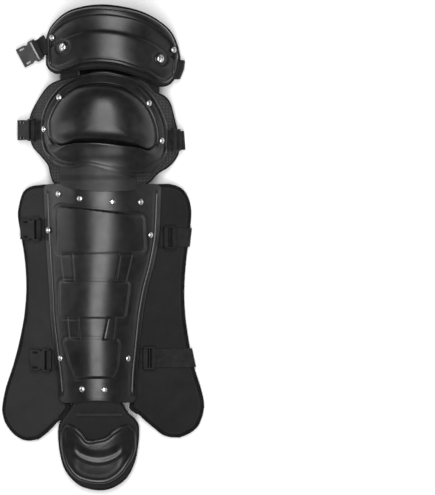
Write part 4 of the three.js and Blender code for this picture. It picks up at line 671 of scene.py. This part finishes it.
KNEE_PAD_OUTLINE = [
    (-0.01, 0.5), (-0.16, 0.5), (-0.285, 0.465), (-0.37, 0.415), (-0.445, 0.285), (-0.495, 0.15),
    (-0.5, 0.03), (-0.48, -0.12), (-0.42, -0.215), (-0.37, -0.3), (-0.355, -0.38), (-0.335, -0.45),
    (-0.275, -0.495), (-0.01, -0.5), (0.25, -0.5), (0.315, -0.445), (0.37, -0.37), (0.435, -0.31),
    (0.495, -0.2), (0.5, -0.06), (0.47, 0.14), (0.44, 0.275), (0.405, 0.325), (0.355, 0.355),
    (0.28, 0.45), (0.15, 0.49),
]
FLAP_OUTLINE = [
    (0.02, 0.5), (-0.31, 0.495), (-0.32, 0.42), (-0.34, 0.36), (-0.39, 0.3), (-0.455, 0.23),
    (-0.49, 0.17), (-0.5, 0.08), (-0.475, -0.12), (-0.4, -0.31), (-0.24, -0.45), (-0.03, -0.5),
    (0.15, -0.485), (0.33, -0.39), (0.44, -0.22), (0.49, -0.02), (0.5, 0.1), (0.495, 0.17),
    (0.455, 0.23), (0.38, 0.29), (0.33, 0.36), (0.3, 0.42), (0.29, 0.495),
]
knee_pad_line = closed_curve(KNEE_PAD_OUTLINE, (KNEE_PAD_SHIFT, KNEE_PAD_MIDDLE),
                             (KNEE_PAD_WIDTH + 2 * KNEE_EASE, KNEE_PAD_HEIGHT), 320)
flap_line = closed_curve(FLAP_OUTLINE, (FLAP_SHIFT, FLAP_MIDDLE), (FLAP_WIDTH, FLAP_LENGTH), 300)


def round_pad(name, outline, middle, thickness, rings, puff, bumps=None):
    around = spaced(outline, int(200 * FINE))
    shares = crowded(int(2 * rings * FINE), 0.7)[int(rings * FINE):]
    shares = np.concatenate([[0], (shares - shares[0] + 0.02) / (shares[-1] - shares[0] + 0.02)])
    plan = np.array(middle) + (around - middle)[None] * shares[:, None, None]
    x, y = plan[..., 0], plan[..., 1]
    face, back = padding(pad_front, x, y, outline, thickness, puff=puff)
    if bumps is not None:
        face[..., 2] += bumps(x, y)
    return round_object(name, face, back)


NECK_MIDDLE, NECK_RIDGE_Y, NECK_RIDGE, NECK_BLOCK = FLAP_SHIFT + 2.0, -19.5, 2.2, 1.2


def neck_bumps(x, y):
    """The flap's neck: a ridge across it and a raised block above the ridge."""
    away = np.abs(x - NECK_MIDDLE)
    ridge = NECK_RIDGE * hump(y, NECK_RIDGE_Y, 1.4) * (1 - smooth(away, 33, 37))
    block = NECK_BLOCK * smooth(y, -15.5, -13.5) * (1 - smooth(away, 27, 31))
    return ridge + block


def shin_pad():
    low, high = FLAP_LAP + 4 * PAD_JOINT, KNEE_PAD_BOTTOM - 4 * PAD_JOINT
    y, across = grid(lerp(low, high, crowded(int(110 * FINE))), 2 * crowded(int(50 * FINE)) - 1)
    sway, half = arch_at(y)[:2]
    x = sway + across * (half - WING_TUCK - PAD_JOINT)
    line = np.concatenate([np.stack([x[0], y[0]], -1), np.stack([x[:, -1], y[:, -1]], -1),
                           np.stack([x[-1], y[-1]], -1)[::-1], np.stack([x[:, 0], y[:, 0]], -1)[::-1]])
    face, back = padding(pad_front, x, y, spaced(line, 200), PAD)
    return sheet_object("shin_padding", face, back)


# Rows down each wing: the free edge, then either how far down along the plate or the inner edge's own point
LEFT_WING = [
    (-0.341, 0.006, 0.002), (-0.375, 0.014, 0.018), (-0.401, 0.034, 0.042), (-0.417, 0.075, 0.08),
    (-0.424, 0.125, 0.125), (-0.407, 0.207, 0.207), (-0.389, 0.307, 0.307), (-0.383, 0.41, 0.41),
    (-0.392, 0.51, 0.51), (-0.411, 0.6, 0.6), (-0.443, 0.7, 0.7), (-0.483, 0.797, 0.785),
    (-0.5, 0.868, -0.199, 0.835), (-0.498, 0.9, -0.173, 0.862), (-0.485, 0.932, -0.189, 0.89),
    (-0.458, 0.963, -0.217, 0.915), (-0.429, 0.984, -0.24, 0.935), (-0.398, 0.997, -0.277, 0.966),
    (-0.367, 1.001, -0.323, 0.995),
]
RIGHT_WING = [
    (0.334, 0.0, 0.002), (0.375, 0.009, 0.018), (0.407, 0.028, 0.042), (0.429, 0.065, 0.08),
    (0.437, 0.115, 0.12), (0.427, 0.205, 0.207), (0.41, 0.307, 0.307), (0.402, 0.41, 0.41),
    (0.406, 0.505, 0.51), (0.422, 0.6, 0.6), (0.446, 0.7, 0.7), (0.482, 0.79, 0.785),
    (0.5, 0.853, 0.148, 0.848), (0.496, 0.893, 0.15, 0.876), (0.485, 0.921, 0.185, 0.899),
    (0.47, 0.945, 0.223, 0.928), (0.443, 0.965, 0.262, 0.954), (0.411, 0.979, 0.296, 0.976),
    (0.38, 0.988, 0.334, 0.987),
]


def wing_edges(rows, side):
    """Points down a wing's inner and outer edges, for side -1 at the left or 1 at the right."""
    inner, outer = [], []
    for row in rows:
        outer.append((row[0] * WING_SPAN, SHIN_LENGTH - row[1] * WING_LENGTH))
        if len(row) == 4:
            inner.append((row[2] * WING_SPAN, SHIN_LENGTH - row[3] * WING_LENGTH))
        else:
            y = SHIN_LENGTH - row[2] * WING_LENGTH
            sway, half = (float(v) for v in arch_at(y)[:2])
            inner.append((sway + side * (half - WING_TUCK), y))
    return np.array(inner), np.array(outer)


def wing(name, rows, side):
    inner, outer = wing_edges(rows, side)
    at = np.linspace(0, len(rows) - 1, int(190 * FINE))
    near, far = spline(inner, at), spline(outer, at)
    share = crowded(int(64 * FINE), 0.7)
    plan = near[:, None] + (far - near)[:, None] * share[None, :, None]
    x, y = plan[..., 0], plan[..., 1]
    line = spaced(np.concatenate([near, plan[-1, 1:-1], far[::-1], plan[0, 1:-1][::-1]]), 420)
    face, back = padding(wing_front, x, y, line, WING, puff=0.5, seed=2 + side, soft=9.0)
    if side < 0:
        face, back = face[::-1, ::-1], back[::-1, ::-1]
    else:
        face, back = face[::-1], back[::-1]
    return sheet_object(name, face, back), line


LINK_SLACK, LINK_THINNER = 0.5, 0.6


def link(name, across, low, high):
    """A fabric band under the pads, a little slack and thinner than its solid."""
    up, share = grid(np.linspace(0, 1, 24), np.linspace(-0.5, 0.5, 24))
    x = THIGH_SHIFT + across * THIGH_WIDTH + share * LINK_WIDTH
    y = knee_at(lerp(low, high, up))
    face = raised(pad_front, x, y, -PAD - 2 * SEAT - PAD_JOINT)
    face[..., 2] += LINK_SLACK * (np.sin(share * 9) * np.sin(up * math.pi) - 1)
    return sheet_object(name, face, behind(pad_front, face, LINK - LINK_THINNER))


# Metal heads, set where the part's own heads are
# From a head's foot to its top: shares of its radius and of its rise
HEAD_PROFILE = [
    (1.0, 0.0), (1.0, 0.1), (0.965, 0.2), (0.9, 0.42), (0.78, 0.65), (0.6, 0.84), (0.4, 0.95), (0.2, 1.0),
]
SLOT_TURN, SLOT_SHARE = math.pi / 3, 0.5


def head_frame(node):
    """Middle of a head's foot, the way it points, its radius and its rise, read from the part's own head."""
    corners = np.array([v.co[:] for v in frame["nodes"][node].data.vertices]) / MM
    points = np.unique(np.round(corners, 3), axis=0)
    ways = np.linalg.eigh(np.cov((points - points.mean(0)).T))[1]
    up = ways[:, 0] * (1 if ways[2, 0] > 0 else -1)
    height = points @ up
    base = points[height < height.min() + 0.05]
    radius = np.linalg.norm(base - base.mean(0), axis=1).max()
    return base.mean(0), up, radius, height.max() - height.min()


def metal_head(node, slotted):
    centre, up, radius, rise = head_frame(node)
    turns = np.linspace(0, 2 * math.pi, 40, endpoint=False)
    side = unit(np.cross(up, (0, 1, 0)))
    over = np.cross(up, side)
    slot = SLOT_SHARE * rise if slotted else 0
    points, faces = [centre], []
    for r, h in HEAD_PROFILE:
        for t in turns:
            u, v = r * radius * math.cos(t), r * radius * math.sin(t)
            across = -u * math.sin(SLOT_TURN) + v * math.cos(SLOT_TURN)
            groove = slot * (1 - smooth(abs(across), 0.5, 1.0)) * smooth(h, 0.2, 0.5)
            points.append(centre + side * u + over * v + up * (h * rise - groove))
    points.append(centre + up * (rise - slot))
    n, rings = len(turns), len(HEAD_PROFILE)
    for k in range(n):
        nxt = (k + 1) % n
        faces.append([0, 1 + nxt, 1 + k])
        for r in range(rings - 1):
            faces.append([1 + r * n + k, 1 + r * n + nxt, 1 + (r + 1) * n + nxt, 1 + (r + 1) * n + k])
        faces.append([1 + (rings - 1) * n + k, 1 + (rings - 1) * n + nxt, len(points) - 1])
    mesh = bpy.data.meshes.new(f"head_{node}")
    mesh.from_pydata((np.array(points) * MM).tolist(), [], faces)
    mesh.polygons.foreach_set("use_smooth", [True] * len(mesh.polygons))
    return linked(f"head_{node}", mesh)


WEB_STEP = 6.0


def woven_copy(node):
    """Webbing from the part's own strip, joined where it is flat and then split where its edges are long."""
    made = bmesh.new()
    made.from_mesh(frame["nodes"][node].data)
    bmesh.ops.remove_doubles(made, verts=made.verts, dist=1e-6)
    bmesh.ops.dissolve_limit(made, angle_limit=math.radians(1), verts=made.verts, edges=made.edges)
    bmesh.ops.triangulate(made, faces=made.faces)
    for _ in range(2):
        long = [e for e in made.edges if e.calc_length() > WEB_STEP * MM]
        if long:
            bmesh.ops.subdivide_edges(made, edges=long, cuts=1)
            bmesh.ops.triangulate(made, faces=made.faces)
    mesh = bpy.data.meshes.new(f"webbing_{node}")
    made.to_mesh(mesh)
    made.free()
    return linked(f"webbing_{node}", mesh)


# Materials, with noise and weave counted per metre and bumps in metres
class Nodes:
    """A material's node tree on its principled shader."""

    def __init__(self, name, color, roughness, metallic=0.0):
        self.material = bpy.data.materials.new(name)
        self.material.use_nodes = True
        self.tree = self.material.node_tree
        self.shader = self.tree.nodes["Principled BSDF"]
        self.shader.inputs["Base Color"].default_value = (*color, 1)
        self.shader.inputs["Roughness"].default_value = roughness
        self.shader.inputs["Metallic"].default_value = metallic
        self.place = self.add("ShaderNodeTexCoord").outputs["Object"]

    def add(self, kind, **inputs):
        node = self.tree.nodes.new(kind)
        for key, value in inputs.items():
            socket = node.inputs[key.replace("_", " ")]
            if isinstance(value, bpy.types.NodeSocket):
                self.tree.links.new(value, socket)
            else:
                socket.default_value = value
        return node

    def noise(self, scale, detail=3.0):
        return self.add("ShaderNodeTexNoise", Vector=self.place, Scale=scale, Detail=detail).outputs["Fac"]

    def spread(self, value, low, high, start=0.3, end=0.7):
        """A value from start to end, moved to low to high."""
        node = self.add("ShaderNodeMapRange", Value=value)
        for key, number in (("From Min", start), ("From Max", end), ("To Min", low), ("To Max", high)):
            node.inputs[key].default_value = number
        return node.outputs["Result"]

    def math(self, kind, *values):
        node = self.tree.nodes.new("ShaderNodeMath")
        node.operation = kind
        for socket, value in zip(node.inputs, values):
            if isinstance(value, bpy.types.NodeSocket):
                self.tree.links.new(value, socket)
            else:
                socket.default_value = value
        return node.outputs[0]

    def color(self, value, dark, light):
        ramp = self.add("ShaderNodeValToRGB", Fac=value)
        ramp.color_ramp.elements[0].color = (*dark, 1)
        ramp.color_ramp.elements[1].color = (*light, 1)
        self.tree.links.new(ramp.outputs["Color"], self.shader.inputs["Base Color"])

    def shine(self, level):
        self.shader.inputs["Specular IOR Level"].default_value = level

    def rough(self, value):
        self.tree.links.new(value, self.shader.inputs["Roughness"])

    def bump(self, height, distance):
        node = self.add("ShaderNodeBump", Height=height, Distance=distance, Strength=1.0)
        self.tree.links.new(node.outputs["Normal"], self.shader.inputs["Normal"])

    def waves(self, axis, per_metre):
        """Fine ribs along one axis, from 0 to 1."""
        split = self.add("ShaderNodeSeparateXYZ", Vector=self.place)
        turn = self.math("MULTIPLY", split.outputs[axis], per_metre * 2 * math.pi)
        return self.math("MULTIPLY_ADD", self.math("SINE", turn), 0.5, 0.5)


def shell_material(name, dark, light, rough):
    made = Nodes(name, dark, rough)
    worn = made.math("MULTIPLY", made.spread(made.noise(90, 6), 0, 1, 0.4, 0.75), 0.5)
    edge = made.add("ShaderNodeNewGeometry").outputs["Pointiness"]
    sharp = made.spread(edge, 0, 1, 0.51, 0.56)
    made.color(made.math("ADD", worn, made.math("MULTIPLY", sharp, 0.5)), dark, light)
    made.rough(made.spread(made.noise(35, 5), rough - 0.05, rough + 0.07))
    made.shine(0.38)
    made.bump(made.noise(1500, 2), 0.00004)
    return made.material


def cloth_material(name, dark, light, weave, bump):
    made = Nodes(name, dark, 0.92)
    grid = made.math("MULTIPLY", made.waves(0, weave), made.waves(1, weave))
    blotch = made.spread(made.noise(14, 4), 0, 1, 0.25, 0.75)
    fine = made.spread(made.noise(900, 2), 0, 1, 0.3, 0.7)
    shade = made.math("ADD", made.math("MULTIPLY", blotch, 0.45), made.math("MULTIPLY", grid, 0.55))
    made.color(shade, dark, light)
    made.rough(made.spread(made.noise(60), 0.85, 0.98))
    made.bump(made.math("ADD", grid, fine), bump)
    made.shader.inputs["Sheen Weight"].default_value = 0.06
    made.shine(0.25)
    return made.material


def webbing_material():
    made = Nodes("webbing", (0.008, 0.008, 0.0085), 0.85)
    ribs = made.waves(1, 480)
    picks = made.waves(0, 260)
    made.color(made.spread(made.noise(120, 4), 0, 1), (0.006, 0.006, 0.0065), (0.014, 0.014, 0.0145))
    made.shine(0.3)
    made.rough(made.spread(made.noise(80), 0.76, 0.9))
    made.bump(made.math("ADD", ribs, made.math("MULTIPLY", picks, 0.6)), 0.00018)
    return made.material


def binding_material():
    made = Nodes("binding", (0.004, 0.004, 0.0045), 0.9)
    made.shine(0.2)
    split = made.add("ShaderNodeSeparateXYZ", Vector=made.add("ShaderNodeTexCoord").outputs["UV"])
    ribs = made.math("SINE", made.math("MULTIPLY", split.outputs[0], 4.2))
    made.color(made.spread(made.noise(150), 0, 1), (0.003, 0.003, 0.0033), (0.008, 0.008, 0.0085))
    made.rough(made.spread(made.noise(60), 0.84, 0.95))
    made.bump(ribs, 0.00012)
    return made.material


def plastic_material():
    made = Nodes("fastening_plastic", (0.016, 0.016, 0.017), 0.45)
    made.color(made.spread(made.noise(70), 0, 1), (0.006, 0.006, 0.0065), (0.014, 0.014, 0.0145))
    made.rough(made.spread(made.noise(50, 4), 0.42, 0.56))
    made.shine(0.3)
    made.bump(made.noise(2200, 2), 0.00003)
    return made.material


def metal_material():
    made = Nodes("nickel", (0.78, 0.78, 0.76), 0.22, 1.0)
    made.color(made.spread(made.noise(300), 0, 1), (0.5, 0.5, 0.49), (0.7, 0.7, 0.68))
    made.rough(made.spread(made.noise(500, 4), 0.26, 0.4))
    made.bump(made.noise(1800, 2), 0.00003)
    return made.material


shell_black = shell_material("shell_plastic", (0.006, 0.006, 0.0064), (0.02, 0.02, 0.021), 0.33)
shell_grey = shell_material("lower_plate_plastic", (0.009, 0.009, 0.0095), (0.02, 0.02, 0.021), 0.5)
pad_cloth = cloth_material("pad_cloth", (0.008, 0.008, 0.0085), (0.017, 0.017, 0.018), 420, 0.00022)
mesh_cloth = cloth_material("mesh_cloth", (0.008, 0.008, 0.0085), (0.06, 0.06, 0.062), 210, 0.0005)
# One wing cloth in a lit and a shaded copy: painted light makes the left wing's copy lighter and painted
# shade makes the right wing's copy darker. The lit copy also colours the neck's piping as a painted
# highlight.
painted_lit_cloth = cloth_material("cloth_painted_lit", (0.015, 0.015, 0.0155), (0.032, 0.032, 0.033), 500, 0.0002)
painted_shaded_cloth = cloth_material("right_wing_cloth_painted_shade", (0.008, 0.008, 0.0085), (0.018, 0.018, 0.0185), 500, 0.0002)
webbing_black = webbing_material()
tape_black = binding_material()
plastic_black = plastic_material()
nickel = metal_material()
thread = cloth_material("thread", (0.01, 0.01, 0.0105), (0.03, 0.03, 0.031), 900, 0.0001)


def dress(obj, material, slot, *nodes, pad=None):
    """Gives a piece its material and the root body and hides the nodes that it replaces; slot and pad are not
    used.
    """
    obj.data.materials.clear()
    obj.data.materials.append(material)
    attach(obj, "root")
    if nodes:
        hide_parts(*nodes)
    return obj


def rounded(obj, width, angle):
    bevel = obj.modifiers.new("edges", "BEVEL")
    bevel.width = width * MM
    bevel.segments = 2
    bevel.limit_method = "ANGLE"
    bevel.angle_limit = math.radians(angle)
    return obj


# Shells
for build, node in ((thigh_cap, "thigh_cap"), (knee_cap, "knee_cap"), (lower_knee_plate, "lower_knee_plate"),
                    (shin_plate, "shin_plate"), (instep_cap, "instep_cap")):
    material = shell_grey if node == "lower_knee_plate" else shell_black
    rounded(dress(build(), material, "shell", node), width=0.9, angle=50)

# Padding and its bindings
dress(thigh_pad(), pad_cloth, "padding", "thigh_pad", pad=0.7)
dress(round_pad("knee_padding", knee_pad_line, (KNEE_PAD_SHIFT, KNEE_PAD_MIDDLE), PAD, rings=34, puff=0.5),
      mesh_cloth, "padding", "knee_pad", pad=0.7)
dress(shin_pad(), pad_cloth, "padding", "shin_pad", pad=0.7)
dress(round_pad("flap_padding", flap_line, (FLAP_SHIFT, FLAP_MIDDLE), WING, rings=50, puff=0.3,
                bumps=neck_bumps), pad_cloth, "padding", "instep_flap", pad=0.6)
left, left_line = wing("left_wing_padding", LEFT_WING, -1)
right, right_line = wing("right_wing_padding", RIGHT_WING, 1)
# The left wing gets the painted-lit copy of the cloth and the right wing the painted-shaded copy
dress(left, painted_lit_cloth, "wing_fabric", "left_wing", pad=0.6)
dress(right, painted_shaded_cloth, "wing_fabric", "right_wing", pad=0.6)
for name, across, low, high in (("thigh_link_left", -0.315, 0.89, 1.06),
                                ("thigh_link_right", 0.28, 0.78, 1.0)):
    dress(link(name + "_band", across, low, high), pad_cloth, "padding", name, pad=0.3)
# Sewn edges: the front that they lie on, the pad's outline and thickness, and the stitching's layer
EDGES = [("thigh", pad_front, thigh_outline(), PAD, -0.5), ("knee", pad_front, knee_pad_line, PAD, -0.3),
         ("flap", pad_front, flap_line, WING, -0.3), ("left_wing", wing_front, left_line, WING, -0.5),
         ("right_wing", wing_front, right_line, WING, -0.5)]
for name, front, line, thick, layer in EDGES:
    dress(binding(name + "_binding", front, line, thick), tape_black, "padding")

# Stitching along the bindings, across the left wing's top and on the toe cap, and the neck's piping
for name, front, line, thick, layer in EDGES:
    line = spaced(moved_in(line, STITCH_INSET), 640, closed=False)
    dress(seam(name + "_stitching", front, line, layer), thread, "padding")
WING_STITCHES = [(-121, 301), (-108, 308), (-92, 311), (-82, 311)]
TOE_STITCHES = [(-36, -57), (-25, -68.5), (-11.5, -72.8), (2, -68.5), (14, -57)]
NECK_HALF, PIPING_RISE, PIPING_RADIUS = 33, 1.8, 2.3
line = spaced(spline(WING_STITCHES, np.linspace(0, 3, 40)), 70, closed=False)
dress(seam("left_wing_panel_line", wing_front, line, 0.1), thread, "padding")
line = spaced(spline(TOE_STITCHES, np.linspace(0, 4, 40)), 120, closed=False)
relief = toe_relief(*line.T, distance_to(toe_line, *line.T))
dress(seam("toe_stitching", pad_front, line, TOE_CAP_FACE, relief), thread, "padding")
# The neck's piping takes the lighter painted-lit cloth: its lighter colour is a painted highlight along the
# neck's ridge
line = np.stack([np.linspace(-NECK_HALF, NECK_HALF, 60) + NECK_MIDDLE, np.full(60, NECK_RIDGE_Y)], -1)
dress(seam("neck_piping", pad_front, line, 0.2, PIPING_RISE, PIPING_RADIUS), painted_lit_cloth, "padding")

# Webbing, fastenings and metal
for node in sorted(frame["nodes"]):
    if node.startswith(("tab_", "strap_", "lock_tab_")):
        rounded(dress(woven_copy(node), webbing_black, "webbing", node), width=0.35, angle=45)
    elif node.startswith(("buckle_", "lock_", "clip_")):
        obj = frame["nodes"][node]
        obj.data.materials.clear()
        obj.data.materials.append(plastic_black)
        rounded(obj, width=0.5, angle=35)
    elif node.startswith(("rivet_", "screw_")):
        dress(metal_head(node, node.startswith("screw_")), nickel, "rivet", node)

# Floor, light and camera
FLOOR_SIZE, SENSOR = 8.0, 36
# The camera's height over a plane near the guard's mean height, that plane's height, the picture's height in
# that plane and the place of the picture's middle
CAMERA_HEIGHT, VIEW_PLANE, PHOTO_TALL = 5.0, 0.05, 0.739
PHOTO_MIDDLE_X, PHOTO_MIDDLE_Y = 0.1722, 0.0013
bpy.ops.mesh.primitive_plane_add(size=FLOOR_SIZE, location=(0, 0, 0))
floor = bpy.context.object
floor.name = "floor"
paper = Nodes("floor_paper", (0.93, 0.93, 0.93), 0.9)
floor.data.materials.append(paper.material)

sky = bpy.data.worlds.new("studio")
bpy.context.scene.world = sky
sky.use_nodes = True
sky.node_tree.nodes["Background"].inputs["Color"].default_value = (1, 1, 1, 1)
sky.node_tree.nodes["Background"].inputs["Strength"].default_value = 0.14


def softbox(name, place, aim, wide, tall, power):
    data = bpy.data.lights.new(name, "AREA")
    data.shape = "RECTANGLE"
    data.size, data.size_y, data.energy = wide, tall, power
    obj = linked(name, data)
    obj.location = place
    obj.rotation_euler = (Vector(aim) - Vector(place)).to_track_quat("-Z", "Y").to_euler()


softbox("overhead", place=(0.02, 0, 2.4), aim=(0.02, 0, 0), wide=0.85, tall=2.8, power=76)
softbox("left_rim", place=(-1.3, 0.1, 0.16), aim=(0, 0, 0.05), wide=0.16, tall=1.6, power=5.0)
softbox("right_rim", place=(1.5, 0.2, 0.3), aim=(0, 0, 0.05), wide=0.16, tall=1.6, power=2.0)

camera = linked("camera", bpy.data.cameras.new("camera"))
camera.location = (PHOTO_MIDDLE_X, PHOTO_MIDDLE_Y, CAMERA_HEIGHT + VIEW_PLANE)
camera.data.sensor_width = SENSOR
camera.data.lens = SENSOR * CAMERA_HEIGHT / PHOTO_TALL
camera.data.clip_start, camera.data.clip_end = 0.1, 50
bpy.context.scene.camera = camera
bpy.context.scene.view_settings.view_transform = "Standard"
